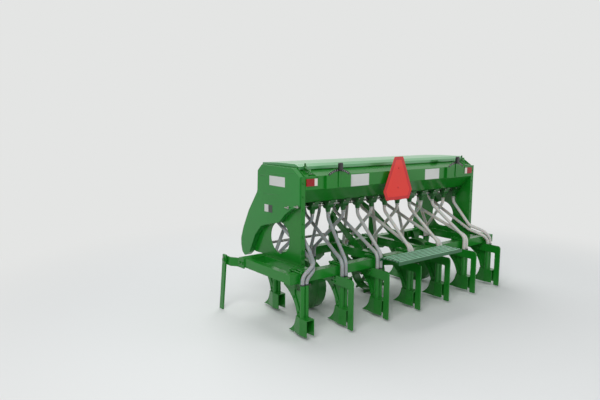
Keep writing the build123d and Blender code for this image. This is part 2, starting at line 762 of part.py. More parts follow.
# Hitch: pins for the lower links, a bent mast with a clevis for the top link, and two braces
def lower_bracket():
    x1 = LOWER_PIN_SPAN / 2
    x0 = x1 - CLEVIS_EAR
    circles = [(FRONT_FACE + 12, BEAM_TOP - 12, 12), (FRONT_FACE + 12, 330, 12), (LOWER_PIN_Y, LOWER_PIN_Z, 42)]
    ear = hull_plate(circles, x0, x1)
    root = plate_yz(
        Polyline(
            (FRONT_BACK, BEAM_BOTTOM),
            (FRONT_FACE + 1, BEAM_BOTTOM),
            (FRONT_FACE + 1, 318),
            (FRONT_BACK, 378),
            close=True,
        ),
        x0,
        x1,
    )
    solid = ear + root
    return solid - rod_x(LOWER_PIN_SHOULDER_R + RUNNING_FIT, x0 - 1, x1 + 1, LOWER_PIN_Y, LOWER_PIN_Z)


def lower_pin():
    """A pin with a thicker shoulder through the ear and a head behind it."""
    x1 = LOWER_PIN_SPAN / 2
    inner = x1 - CLEVIS_EAR
    head_r, head_length = LOWER_PIN_HEAD
    pin = rod_x(LOWER_PIN_R, x1, x1 + LOWER_PIN_LENGTH, LOWER_PIN_Y, LOWER_PIN_Z)
    pin += rod_x(LOWER_PIN_SHOULDER_R, inner, x1, LOWER_PIN_Y, LOWER_PIN_Z)
    return pin + rod_x(head_r, inner - head_length, inner, LOWER_PIN_Y, LOWER_PIN_Z)


CLEVIS_HALF = CLEVIS_GAP / 2 + CLEVIS_EAR
POST_Y = FRONT_FACE + POST_THICK / 2


def mast_post():
    """A flat post up the front beam, bent inwards to the clevis well below the top link's axis."""
    x = INNER_RAIL_X
    low = flat_bar((x, POST_Y, BEAM_BOTTOM), (x, POST_Y, POST_BEND_Z), POST_WIDTH, POST_THICK, (1, 0, 0))
    start = Vector(x, POST_Y, POST_BEND_Z - 12)
    end = Vector(CLEVIS_HALF, TOP_BORE_Y, TOP_BORE_Z - POST_TOP_DROP)
    reach = (end - start).normalized() * POST_WIDTH
    high = flat_bar(tuple(start), tuple(end + reach), POST_WIDTH, POST_THICK, (1, 0, 1))
    inside = block(-BEAM_HALF, CLEVIS_HALF, FRONT_FACE, TOP_BORE_Y + 100, POST_BEND_Z, TOP_BORE_Z + 100)
    return low + high - inside


def top_clevis():
    ear = hull_plate(
        [(TOP_BORE_Y, TOP_BORE_Z, 34), (TOP_BORE_Y - 6, TOP_BORE_Z - 130, 38)],
        CLEVIS_GAP / 2,
        CLEVIS_HALF,
    )
    ears = ear + mirror(ear, about=Plane.YZ)
    gap = CLEVIS_GAP / 2
    web = block(-gap, gap, TOP_BORE_Y - 30, TOP_BORE_Y - 18, TOP_BORE_Z - 150, TOP_BORE_Z - 60)
    return ears + web - rod_x(TOP_BORE_R, -CLEVIS_HALF - 1, CLEVIS_HALF + 1, TOP_BORE_Y, TOP_BORE_Z)


def mast_brace():
    x = INNER_RAIL_X
    start = Vector(x, BRACE_FOOT_Y, BEAM_TOP)
    end = Vector(x, FRONT_FACE, POST_BEND_Z)
    reach = (end - start).normalized() * 60
    brace = flat_bar(tuple(start - reach), tuple(end + reach), BRACE_THICK, BRACE_WIDTH, (1, 0, 0))
    brace -= block(0, BEAM_HALF, REAR_FACE, FRONT_FACE, 0, BEAM_TOP)
    return brace - block(0, BEAM_HALF, FRONT_FACE, CROSS_SHAFT_Y, BEAM_TOP, HOPPER_TOP)


save("lower_hitch_brackets", *both_sides(lower_bracket()))
save("lower_hitch_pins", *both_sides(lower_pin()))
save("mast_posts", *both_sides(mast_post()))
save("top_clevis", top_clevis())
save("mast_braces", *both_sides(mast_brace()))


# Gauge wheels: a flat disc in a plain rim, on an axle between two fork plates
def gauge_wheel():
    half = GAUGE_WIDTH / 2
    z = GAUGE_R
    wheel = rod_x(GAUGE_R, -half, half, GAUGE_Y, z) - rod_x(GAUGE_R - GAUGE_RIM, -half, half, GAUGE_Y, z)
    wheel += rod_x(GAUGE_R - GAUGE_RIM / 2, -3, 3, GAUGE_Y, z)
    wheel += rod_x(GAUGE_HUB_R, -half - 2, half + 2, GAUGE_Y, z)
    return wheel - rod_x(GAUGE_AXLE_R + RUNNING_FIT, -half - 3, half + 3, GAUGE_Y, z)


FORK_IN = GAUGE_WIDTH / 2 + FORK_GAP


def gauge_fork():
    solids = []
    for side in (-1, 1):
        circles = [(FRONT_BACK - 14, BEAM_TOP - 14, 14), (FRONT_BACK - 14, BEAM_BOTTOM + 14, 14), (GAUGE_Y, GAUGE_R, 26)]
        arm = hull_plate(circles, side * FORK_IN, side * (FORK_IN + FORK_PLATE))
        arm -= rod_x(GAUGE_AXLE_R + RUNNING_FIT, -100, 100, GAUGE_Y, GAUGE_R)
        solids.append(arm)
    return solids


def gauge_axle():
    reach = FORK_IN + FORK_PLATE
    axle = rod_x(GAUGE_AXLE_R, -reach, reach, GAUGE_Y, GAUGE_R)
    for side in (-1, 1):
        axle += rod_x(GAUGE_AXLE_R + 8, side * reach, side * (reach + 10), GAUGE_Y, GAUGE_R)
    return axle


one_wheel = gauge_wheel()
save("left_gauge_wheel", Pos(-GAUGE_X, 0, 0) * one_wheel)
save("right_gauge_wheel", Pos(GAUGE_X, 0, 0) * one_wheel)
save("gauge_forks", *[Pos(side * GAUGE_X, 0, 0) * arm for side in (-1, 1) for arm in gauge_fork()])
save("gauge_axles", *[Pos(side * GAUGE_X, 0, 0) * gauge_axle() for side in (-1, 1)])


# Ground drive wheel: rim, lugs, spokes and hub in one weldment
def drive_wheel():
    half = DRIVE_WIDTH / 2
    ring = Cylinder(DRIVE_RIM_R, DRIVE_WIDTH) - Cylinder(DRIVE_RIM_R - DRIVE_RIM, DRIVE_WIDTH)
    for i in range(DRIVE_LUGS):
        reach = DRIVE_TIP_R - DRIVE_RIM_R + 2
        lug = Pos(DRIVE_TIP_R - reach / 2, 0, 0) * Box(reach, LUG_THICK, DRIVE_WIDTH)
        ring += Rot(0, 0, 360 * i / DRIVE_LUGS) * lug
    length = DRIVE_RIM_R - DRIVE_RIM / 2 - DRIVE_HUB_R + 4
    for i in range(DRIVE_SPOKES):
        spoke = Pos(DRIVE_HUB_R - 4 + length / 2, 0, 0) * Box(length, 10, 36)
        ring += Rot(0, 0, 360 * (i + 0.5) / DRIVE_SPOKES) * spoke
    ring += Cylinder(DRIVE_HUB_R, DRIVE_WIDTH + 8)
    ring -= Cylinder(GAUGE_AXLE_R + RUNNING_FIT, 2 * DRIVE_WIDTH)
    return Pos(0, DRIVE_Y, DRIVE_TIP_R) * Rot(0, 90, 0) * ring


def drive_arm():
    elbow = (CROSS_SHAFT_Y - 60, 330)
    radius = ARM_WIDTH / 2
    solid = None
    for side in (-1, 1):
        x0 = side * ARM_X
        x1 = side * (ARM_X + ARM_THICK)
        upper = hull_plate([(CROSS_SHAFT_Y, CROSS_SHAFT_Z, 30), (*elbow, radius)], x0, x1)
        lower = hull_plate([(*elbow, radius), (DRIVE_Y, DRIVE_TIP_R, 28)], x0, x1)
        arm = upper + lower
        solid = arm if solid is None else solid + arm
    solid += rod_x(14, -ARM_X, ARM_X, *elbow)
    sleeve = ARM_X + ARM_THICK + 20
    for side in (-1, 1):
        solid += rod_x(24, side * ARM_X, side * sleeve, CROSS_SHAFT_Y, CROSS_SHAFT_Z)
    solid -= rod_x(CROSS_SHAFT_R + RUNNING_FIT, -sleeve - 1, sleeve + 1, CROSS_SHAFT_Y, CROSS_SHAFT_Z)
    return solid - rod_x(GAUGE_AXLE_R + RUNNING_FIT, -sleeve, sleeve, DRIVE_Y, DRIVE_TIP_R)


def drive_axle():
    reach = ARM_X + ARM_THICK
    axle = rod_x(GAUGE_AXLE_R, -reach, reach, DRIVE_Y, DRIVE_TIP_R)
    for side in (-1, 1):
        axle += rod_x(GAUGE_AXLE_R + 8, side * reach, side * (reach + 10), DRIVE_Y, DRIVE_TIP_R)
    return axle


def shaft_bearing(x):
    circles = [(FRONT_FACE + 14, BEAM_TOP - 14, 14), (FRONT_FACE + 14, BEAM_BOTTOM + 14, 14)]
    circles.append((CROSS_SHAFT_Y, CROSS_SHAFT_Z, 32))
    half = BEARING_THICK / 2
    plate = hull_plate(circles, x - half, x + half)
    return plate - rod_x(CROSS_SHAFT_R + RUNNING_FIT, x - 20, x + 20, CROSS_SHAFT_Y, CROSS_SHAFT_Z)


save("drive_wheel", drive_wheel())
save("drive_arm", drive_arm())
save("drive_axle", drive_axle())
save("shaft_bearings", *[shaft_bearing(x) for x in BEARING_X])
save("cross_shaft", rod_x(CROSS_SHAFT_R, -PLATE_OUTER, BEARING_X[-1] + 25, CROSS_SHAFT_Y, CROSS_SHAFT_Z))


# Parking stands: a leaning bar that swings on a pin at the end of a bent arm
STAND_GAP = LID_CLEAR
STAND_BAR_X = STAND_ARM_X + STAND_GAP
STAND_LEAN = (STAND_FOOT_Y - STAND_PIVOT_Y) / STAND_PIVOT_Z


def stand_arm():
    """A bent flat on the front beam's end, with the pivot boss and the pin."""
    inner = BEAM_HALF
    outer = STAND_ARM_X - STAND_ARM_THICK
    thick = STAND_ARM_THICK
    front = STAND_PIVOT_Y + STAND_WIDTH / 2
    plan = Polyline(
        (inner, FRONT_BACK),
        (inner, FRONT_FACE + 20),
        (outer, FRONT_FACE + 80),
        (outer, front),
        (outer + thick, front),
        (outer + thick, FRONT_FACE + 76),
        (inner + thick, FRONT_FACE + 16),
        (inner + thick, FRONT_BACK),
        close=True,
    )
    low, high = STAND_ARM_Z
    arm = Pos(0, 0, low) * extrude(make_face(plan), high - low)
    arm += block(inner, inner + thick, FRONT_BACK, FRONT_FACE, BEAM_BOTTOM, BEAM_TOP)
    arm += rod_x(STAND_BOSS_R, STAND_ARM_X, STAND_BAR_X - SEAT, STAND_PIVOT_Y, STAND_PIVOT_Z)
    far = STAND_BAR_X + STAND_THICK + SEAT
    arm += rod_x(STAND_PIN_R, STAND_ARM_X - 2, far + 8, STAND_PIVOT_Y, STAND_PIVOT_Z)
    arm += rod_x(STAND_PIN_R + 6, far, far + 8, STAND_PIVOT_Y, STAND_PIVOT_Z)
    return arm


def stand_bar():
    half = STAND_WIDTH / 2 * math.hypot(1, STAND_LEAN)
    top_y = STAND_PIVOT_Y - STAND_LEAN * (STAND_TOP - STAND_PIVOT_Z)
    outline = Polyline(
        (top_y - half, STAND_TOP),
        (STAND_FOOT_Y - half, 0),
        (STAND_FOOT_Y + half, 0),
        (top_y + half, STAND_TOP),
        close=True,
    )
    far = STAND_BAR_X + STAND_THICK
    bar = plate_yz(outline, STAND_BAR_X, far)
    return bar - rod_x(STAND_PIN_R + RUNNING_FIT, STAND_BAR_X - 1, far + 1, STAND_PIVOT_Y, STAND_PIVOT_Z)


right_stand, left_stand = both_sides(stand_bar())
save("stand_arms", *both_sides(stand_arm()))
save("left_stand", left_stand)
save("right_stand", right_stand)
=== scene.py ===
import json
import math

import bmesh
import bpy
from mathutils import Matrix, Vector


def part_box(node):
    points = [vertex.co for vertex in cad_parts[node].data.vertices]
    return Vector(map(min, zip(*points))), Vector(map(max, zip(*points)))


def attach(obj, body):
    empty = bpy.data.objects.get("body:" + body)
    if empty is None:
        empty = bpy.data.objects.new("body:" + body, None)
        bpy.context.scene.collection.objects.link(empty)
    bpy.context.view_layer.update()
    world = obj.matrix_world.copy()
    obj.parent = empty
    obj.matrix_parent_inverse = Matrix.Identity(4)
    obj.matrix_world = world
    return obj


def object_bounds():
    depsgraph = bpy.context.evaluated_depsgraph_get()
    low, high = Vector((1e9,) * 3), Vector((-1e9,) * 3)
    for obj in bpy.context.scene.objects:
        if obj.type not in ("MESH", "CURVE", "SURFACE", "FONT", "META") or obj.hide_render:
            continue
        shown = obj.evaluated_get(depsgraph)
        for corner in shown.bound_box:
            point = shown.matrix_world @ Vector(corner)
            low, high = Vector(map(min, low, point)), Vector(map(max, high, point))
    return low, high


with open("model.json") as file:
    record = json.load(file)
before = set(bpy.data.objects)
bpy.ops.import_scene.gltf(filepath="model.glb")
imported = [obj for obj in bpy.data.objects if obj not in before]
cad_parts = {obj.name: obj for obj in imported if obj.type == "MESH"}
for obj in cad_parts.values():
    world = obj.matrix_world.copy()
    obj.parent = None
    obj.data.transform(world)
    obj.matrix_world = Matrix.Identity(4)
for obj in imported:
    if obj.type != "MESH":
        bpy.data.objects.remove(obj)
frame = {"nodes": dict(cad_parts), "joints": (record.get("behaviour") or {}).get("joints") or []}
nodes = frame["nodes"]
cad_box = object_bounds()


# Studio: a pale floor, a pale surround and soft lamps.
# The camera stands behind the drill's left end, a little above the hopper.
def linear(red, green, blue):
    """A screen colour of 0 to 255 as the linear colour that the shaders take."""
    parts = []
    for part in (red, green, blue):
        part /= 255
        parts.append(part / 12.92 if part <= 0.04045 else ((part + 0.055) / 1.055) ** 2.4)
    return (*parts, 1.0)


def link_object(obj):
    bpy.context.scene.collection.objects.link(obj)
    return obj


def turned(degrees, axis):
    """A turn about one of the axes X, Y and Z."""
    return Matrix.Rotation(math.radians(degrees), 4, axis)


def set_inputs(node, inputs):
    for name, value in inputs.items():
        node.inputs[name].default_value = value


def add_node(tree, kind, inputs=(), **settings):
    """A node with plain settings; each of its inputs takes a value or another node's output."""
    node = tree.nodes.new("ShaderNode" + kind)
    for key, value in settings.items():
        setattr(node, key, value)
    for name, given in dict(inputs).items():
        if isinstance(given, bpy.types.NodeSocket):
            tree.links.new(given, node.inputs[name])
        else:
            node.inputs[name].default_value = given
    return node


def multiplied(tree, first, second):
    return add_node(tree, "Math", {0: first, 1: second}, operation="MULTIPLY").outputs[0]


def seen_rays(tree):
    """A value that is 1 for what shows straight or in a reflection, and 0 for plain light."""
    rays = add_node(tree, "LightPath").outputs
    inputs = {0: rays["Is Camera Ray"], 1: rays["Is Glossy Ray"]}
    return add_node(tree, "Math", inputs, operation="MAXIMUM").outputs[0]


def new_material(name):
    """A material with its node tree and its Principled shader."""
    material = bpy.data.materials.new(name)
    material.use_nodes = True
    return material, material.node_tree, material.node_tree.nodes["Principled BSDF"]


CAMERA_PLACE = (-3.393, -3.254, 1.503)
CAMERA_TURN = -37.73
CAMERA_DIP = 7.93
CAMERA_ROLL = 0.31
camera = link_object(bpy.data.objects.new("camera", bpy.data.cameras.new("camera")))
camera.data.lens = 32.4
camera.data.sensor_width = 36
camera.data.clip_end = 100
camera.matrix_world = (
    Matrix.Translation(CAMERA_PLACE)
    @ turned(CAMERA_TURN, "Z")
    @ turned(90 - CAMERA_DIP, "X")
    @ turned(CAMERA_ROLL, "Z")
)
bpy.context.scene.camera = camera
bpy.context.scene.view_settings.view_transform = "Standard"

SURROUND = linear(228, 229, 228)
# Far from the drill the floor takes the surround's own colour, so no horizon shows.
NEAR_FLOOR = 1.9
FAR_FLOOR = 4.2
FLOOR_DROP = 0.0005
floor_paint, floor_tree, floor_shader = new_material("studio_floor")
set_inputs(floor_shader, {"Base Color": SURROUND, "Roughness": 0.9, "Specular IOR Level": 0.1})
floor_place = add_node(floor_tree, "TexCoord").outputs["Object"]
floor_reach = add_node(floor_tree, "VectorMath", {0: floor_place}, operation="LENGTH").outputs["Value"]
floor_far = add_node(
    floor_tree,
    "MapRange",
    {"Value": floor_reach, "From Min": NEAR_FLOOR, "From Max": FAR_FLOOR},
    interpolation_type="SMOOTHSTEP",
).outputs[0]
floor_fade = multiplied(floor_tree, seen_rays(floor_tree), floor_far)
floor_glow = add_node(floor_tree, "Emission", {"Color": SURROUND}).outputs[0]
floor_mix = add_node(floor_tree, "MixShader", {"Fac": floor_fade, 1: floor_shader.outputs[0], 2: floor_glow})
floor_tree.links.new(floor_mix.outputs[0], floor_tree.nodes["Material Output"].inputs["Surface"])
floor_mesh = bpy.data.meshes.new("studio_floor")
form = bmesh.new()
bmesh.ops.create_grid(form, x_segments=1, y_segments=1, size=30)
form.to_mesh(floor_mesh)
form.free()
floor = link_object(bpy.data.objects.new("studio_floor", floor_mesh))
floor.data.materials.append(floor_paint)
floor.location.z = cad_box[0][2] - FLOOR_DROP

# name, place, point it shines at, size in metres, power in watts
LAMPS = (
    ("key_lamp", (-4.5, -3.0, 4.5), (0, 0, 0.6), 3.0, 175),
    ("fill_lamp", (4.5, -4.5, 2.6), (0, 0, 0.6), 4.0, 60),
    ("top_lamp", (0.5, 3.0, 5.5), (0, 0, 0.9), 4.0, 170),
)
for name, place, aim, size, power in LAMPS:
    lamp = link_object(bpy.data.objects.new(name, bpy.data.lights.new(name, "AREA")))
    lamp.data.size = size
    lamp.data.energy = power
    lamp.location = place
    lamp.rotation_euler = (Vector(aim) - Vector(place)).to_track_quat("-Z", "Y").to_euler()
air = bpy.data.worlds.new("studio_air")
air.use_nodes = True
air_tree = air.node_tree
glow = air_tree.nodes["Background"]
set_inputs(glow, {"Color": linear(232, 236, 240), "Strength": 0.5})
backdrop = add_node(air_tree, "Background", {"Color": SURROUND, "Strength": 1.0}).outputs[0]
surround = add_node(air_tree, "MixShader", {"Fac": seen_rays(air_tree), 1: glow.outputs[0], 2: backdrop})
air_tree.links.new(surround.outputs[0], air_tree.nodes["World Output"].inputs["Surface"])
bpy.context.scene.world = air


# Frame: square steel tube, welded, shot-blasted and sprayed with one coat of green enamel.
# Every painted steel piece of the drill takes this finish, with its edges a little rounded.
SURFACE = {"Colour": "Color", "Roughness": "Float", "Normal": "Vector"}


def new_group(name, inputs):
    """A group for a surface: named inputs come in, and colour, roughness and normal go out."""
    group = bpy.data.node_groups.new(name, "ShaderNodeTree")
    for sockets, way in ((inputs, "INPUT"), (SURFACE, "OUTPUT")):
        for socket, kind in sockets.items():
            group.interface.new_socket(name=socket, in_out=way, socket_type="NodeSocket" + kind)
    return group, group.nodes.new("NodeGroupInput").outputs, group.nodes.new("NodeGroupOutput").inputs


def put_out(group, result, *sockets):
    """Links a surface's colour, roughness and normal to what its group puts out."""
    for socket, name in zip(sockets, SURFACE):
        group.links.new(socket, result[name])


def grouped_material(name, group, inputs):
    """A material whose colour, roughness and normal come from a surface group."""
    material, tree, shader = new_material(name)
    surface = add_node(tree, "Group", inputs, node_tree=group)
    for socket, target in zip(SURFACE, ("Base Color", "Roughness", "Normal")):
        tree.links.new(surface.outputs[socket], shader.inputs[target])
    return material, shader


def object_place(tree):
    return add_node(tree, "TexCoord").outputs["Object"]


def noise(tree, scale, detail=2.0, roughness=0.5):
    inputs = {"Vector": object_place(tree), "Scale": scale, "Detail": detail, "Roughness": roughness}
    return add_node(tree, "TexNoise", inputs).outputs["Fac"]


def split(tree, vector):
    """The X, Y and Z of a vector."""
    return add_node(tree, "SeparateXYZ", {"Vector": vector}).outputs


def ranged(tree, value, kind="LINEAR", **ends):
    """A value's stretch from_min to from_max as to_min to to_max; the ends not given are 0 and 1."""
    inputs = {key.replace("_", " ").title(): end for key, end in ends.items()}
    return add_node(tree, "MapRange", {"Value": value, **inputs}, interpolation_type=kind).outputs[0]


def uneven(tree, colour, pattern, low, high):
    """The colour with its brightness between two shares, as a pattern goes from 0 to 1."""
    share = ranged(tree, pattern, to_min=low, to_max=high)
    return add_node(tree, "HueSaturation", {"Color": colour, "Value": share}).outputs[0]


def mixed(tree, share, first, second, blend="MIX"):
    inputs = {"Factor": share, "A": first, "B": second}
    return add_node(tree, "Mix", inputs, data_type="RGBA", blend_type=blend).outputs["Result"]


def bumped(tree, height, strength, distance, normal=None):
    """The normal over a height of 0 to 1, on the plain surface or on another normal."""
    inputs = {"Height": height, "Strength": strength, "Distance": distance}
    if normal is not None:
        inputs["Normal"] = normal
    return add_node(tree, "Bump", inputs).outputs[0]


def rounded(tree, radius):
    return add_node(tree, "Bevel", {"Radius": radius}, samples=4).outputs[0]


def sprayed_paint_group():
    """Uneven colour, orange peel and settled dust of a sprayed coat on steel."""
    colours = {"Colour": "Color", "Dust Colour": "Color"}
    numbers = {"Dust": "Float", "Roughness": "Float", "Edge": "Float"}
    group, given, result = new_group("sprayed_paint", {**colours, **numbers})
    tone = uneven(group, given["Colour"], noise(group, 2.3, detail=5.0), 0.82, 1.16)
    # Dust settles on what faces up, and soil splashes a little over the ground.
    facing = split(group, add_node(group, "NewGeometry").outputs["Normal"])
    upward = ranged(group, facing["Z"], "SMOOTHSTEP", from_min=0.45, from_max=1.0)
    speck = noise(group, 38.0, detail=8.0, roughness=0.7)
    patch = ranged(group, speck, from_min=0.42, from_max=0.72)
    settled = multiplied(group, upward, patch)
    height = split(group, object_place(group))["Z"]
    splash = ranged(group, height, from_min=0.22, from_max=0.0, to_max=patch)
    either = add_node(group, "Math", {0: settled, 1: splash}, operation="MAXIMUM").outputs[0]
    amount = multiplied(group, either, given["Dust"])
    cover = mixed(group, amount, tone, given["Dust Colour"])
    dull = ranged(group, amount, to_min=given["Roughness"], to_max=0.8)
    peel = noise(group, 260.0)
    normal = bumped(group, peel, 0.06, 0.001, rounded(group, given["Edge"]))
    put_out(group, result, cover, dull, normal)
    return group


sprayed_paint = sprayed_paint_group()
DUST = linear(150, 140, 118)


def enamel(name, colour, roughness=0.24, dust=0.07, edge=0.002, coat=0.2, mirror=0.3):
    """A sprayed enamel finish; edge is the radius in metres that its corners look rounded by."""
    inputs = {"Colour": colour, "Dust Colour": DUST, "Dust": dust, "Roughness": roughness, "Edge": edge}
    paint, shader = grouped_material(name, sprayed_paint, inputs)
    set_inputs(shader, {"Specular IOR Level": mirror, "Coat Weight": coat, "Coat Roughness": 0.06})
    return paint


def dress(finish, *names):
    """Gives CAD nodes a finish in all of their slots."""
    for name in names:
        for slot in nodes[name].material_slots:
            slot.material = finish


GREEN = linear(20, 120, 30)
green_enamel = enamel("green_enamel", GREEN)
tube_enamel = enamel("tube_enamel", GREEN, edge=0.006)
dress(tube_enamel, "rear_beam", "front_beam", "side_beams", "inner_rails")
dress(green_enamel, "beam_caps")


def add_piece(name, form, finish, body="drill", smooth=35):
    """Closes a bmesh as one piece that rides on a body; edges sharper than smooth degrees stay sharp."""
    bmesh.ops.recalc_face_normals(form, faces=form.faces)
    mesh = bpy.data.meshes.new(name)
    form.to_mesh(mesh)
    form.free()
    mesh.shade_smooth()
    mesh.set_sharp_from_angle(angle=math.radians(smooth))
    mesh.materials.append(finish)
    piece = link_object(bpy.data.objects.new(name, mesh))
    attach(piece, body)
    return piece


def outward(place, direction):
    """The matrix that puts a shape made along +Z at a place, turned to a direction."""
    turn = Vector(direction).to_track_quat("Z", "Y").to_matrix().to_4x4()
    return Matrix.Translation(Vector(place)) @ turn


def add_disc(form, matrix, radius, low, high, sides=20, tip_radius=None):
    """A closed disc or cone from low to high along the matrix's Z axis."""
    shift = Matrix.Translation((0, 0, (low + high) / 2))
    bmesh.ops.create_cone(
        form,
        cap_ends=True,
        segments=sides,
        radius1=radius,
        radius2=radius if tip_radius is None else tip_radius,
        depth=high - low,
        matrix=matrix @ shift,
    )


RIPPLE_LAP = 1.1
RIPPLE_TAPER = 0.72


def add_weld(form, start, end, radius=0.0035, ripple=0.007):
    """A weld bead laid from start to end, as a row of overlapping ripples."""
    run = Vector(end) - Vector(start)
    count = max(2, round(run.length / ripple))
    length = run.length / count * RIPPLE_LAP
    for i in range(count):
        spot = outward(Vector(start) + run * (i / count), run)
        add_disc(form, spot, radius, 0.0, length, sides=8, tip_radius=radius * RIPPLE_TAPER)


RAIL_HALF = 0.025
MIDDLE_RAIL_X = 0.25
WELD_MARGIN = 0.002
form = bmesh.new()
for name, inner in (("side_beams", ()), ("inner_rails", (MIDDLE_RAIL_X,))):
    low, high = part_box(name)
    reaches = (*inner, high.x - RAIL_HALF)
    for x in sorted(side * reach for side in (-1, 1) for reach in reaches):
        for y in (low.y, high.y):
            for corner in (x - RAIL_HALF, x + RAIL_HALF):
                add_weld(form, (corner, y, low.z + WELD_MARGIN), (corner, y, high.z - WELD_MARGIN))
            add_weld(form, (x - RAIL_HALF, y, high.z), (x + RAIL_HALF, y, high.z))
add_piece("frame_welds", form, green_enamel)


# Openers: curved forged shanks and boots of folded and welded steel sheet, painted like the frame.
# Each row's clamp holds the shank on its beam with four M10 bolts, painted with the frame.
# Two more bolts hold the boot to the shank, and each tube is welded on the boot.
dress(green_enamel, "rear_shanks", "front_shanks", "rear_boots", "front_boots", "rear_clamps", "front_clamps")

# A bolt's sizes as shares of its width across the flats, apart from the washer's thickness
WASHER = 0.0016
WASHER_R = 0.62
HEXAGON_R = 0.577
HEAD_HEIGHT = 0.42
HEXAGON_SHARE = 0.82
CROWN_R = 0.52
CROWN_TIP_R = 0.44
THREAD_R = 0.28


def add_bolt(form, place, direction, across=0.017, stub=0.0):
    """A hexagon head or nut with a chamfered crown on a washer; stub is the thread beyond a nut."""
    spot = outward(place, direction)
    shoulder = WASHER + across * HEAD_HEIGHT * HEXAGON_SHARE
    top = WASHER + across * HEAD_HEIGHT
    add_disc(form, spot, across * WASHER_R, 0.0, WASHER, sides=18)
    add_disc(form, spot, across * HEXAGON_R, WASHER, shoulder, sides=6)
    add_disc(form, spot, across * CROWN_R, shoulder, top, sides=12, tip_radius=across * CROWN_TIP_R)
    if stub:
        add_disc(form, spot, across * THREAD_R, top, top + stub, sides=12)


def add_sleeve(form, matrix, inner, outer, low, high, sides=24):
    """A ring spun about the matrix's Z axis from a rectangular section."""
    corners = ((inner, 0, low), (outer, 0, low), (outer, 0, high), (inner, 0, high))
    section = [form.verts.new(matrix @ Vector(corner)) for corner in corners]
    edges = [form.edges.new((section[i], section[(i + 1) % 4])) for i in range(4)]
    bmesh.ops.spin(
        form,
        geom=section + edges,
        cent=matrix @ Vector((0, 0, 0)),
        axis=(matrix.to_3x3() @ Vector((0, 0, 1))).normalized(),
        angle=math.tau,
        steps=sides,
        use_merge=True,
    )


ROW_GAPS = 12
CLAMP_WIDTH = 0.048
CLAMP_BOLT_X = 0.0175
CLAMP_BOLT_EDGE = 0.0085
CLAMP_BOLT = 0.0165
CLAMP_THREAD = 0.005
SHANK_BOLT = 0.015
SHANK_HALF = 0.011
# from the boot's heel forwards, height
SHANK_BOLTS = ((0.128, 0.172), (0.178, 0.276))
TUBE_FROM_HEEL = 0.068
SOCKET_X = 0.018
TUBE_R = 0.017
BOOT_TOP = 0.150
# the ring of weld round a tube's foot
WELD_INNER = TUBE_R - 0.001
WELD_OUTER = TUBE_R + 0.003
WELD_Z = (-0.001, 0.0025)
clamp_low, clamp_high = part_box("rear_clamps")
row_pitch = (clamp_high.x - clamp_low.x - CLAMP_WIDTH) / ROW_GAPS
ROW_X = {
    "rear": [row_pitch * k for k in range(-6, 7, 2)],
    "front": [row_pitch * k for k in range(-5, 6, 2)],
}
for row, places in ROW_X.items():
    low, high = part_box(row + "_clamps")
    form = bmesh.new()
    for x in places:
        for bolt_x in (x - CLAMP_BOLT_X, x + CLAMP_BOLT_X):
            for z in (low.z + CLAMP_BOLT_EDGE, high.z - CLAMP_BOLT_EDGE):
                add_bolt(form, (bolt_x, low.y, z), (0, -1, 0), CLAMP_BOLT, stub=CLAMP_THREAD)
                add_bolt(form, (bolt_x, high.y, z), (0, 1, 0), CLAMP_BOLT)
    add_piece(row + "_clamp_bolts", form, green_enamel)
    heel_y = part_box(row + "_boots")[0].y
    bolts = bmesh.new()
    welds = bmesh.new()
    for x in places:
        for turn in (-1, 1):
            for dy, z in SHANK_BOLTS:
                add_bolt(bolts, (x + turn * SHANK_HALF, heel_y + dy, z), (turn, 0, 0), SHANK_BOLT)
            foot = Matrix.Translation((x + turn * SOCKET_X, heel_y + TUBE_FROM_HEEL, BOOT_TOP))
            add_sleeve(welds, foot, WELD_INNER, WELD_OUTER, *WELD_Z, sides=16)
    add_piece(row + "_shank_bolts", bolts, green_enamel)
    add_piece(row + "_tube_welds", welds, green_enamel)


# Covering bars: flat plate set edgeways, one to the left of each rear opener but the leftmost.
# Its arm runs under the rear beam, held by four bolts, and turns down behind the boot.
BAR_BOLT = 0.015
BAR_BOLT_Y = 0.018
BAR_BOLT_DROPS = (0.018, 0.050)
dress(green_enamel, "covering_bars")
bar_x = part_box("covering_bars")[0].x
beam_low, beam_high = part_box("rear_beam")
form = bmesh.new()
for k in range(0, ROW_GAPS, 2):
    for y in (beam_low.y + BAR_BOLT_Y, beam_high.y - BAR_BOLT_Y):
        for drop in BAR_BOLT_DROPS:
            add_bolt(form, (bar_x + k * row_pitch, y, beam_low.z - drop), (-1, 0, 0), BAR_BOLT)
add_piece("covering_bar_bolts", form, green_enamel)


# Hopper: folded steel sheet with a hemmed rear band, welded ends and a row of bolts along each end plate.
# The lid is pressed sheet under a thick soft clear coat; its paler green is a painted reflection of the
# bright sky on its glossy top.
dress(green_enamel, "hopper", "left_end_plate", "right_end_plate", "lid_hinges")


def shader_of(material):
    return material.node_tree.nodes["Principled BSDF"]


# Its paler green is painted reflection: the glare of the sky on the glossy lid.
lid_enamel = enamel(
    "lid_enamel",
    linear(84, 158, 100),
    roughness=0.34,
    dust=0.0,
    edge=0.003,
    coat=0.5,
    mirror=0.4,
)
set_inputs(shader_of(lid_enamel), {"Coat Roughness": 0.3, "Coat IOR": 1.6})
dress(lid_enamel, "lid")
FLANGE_BOLTS = 7
FLANGE_BOLT = 0.011
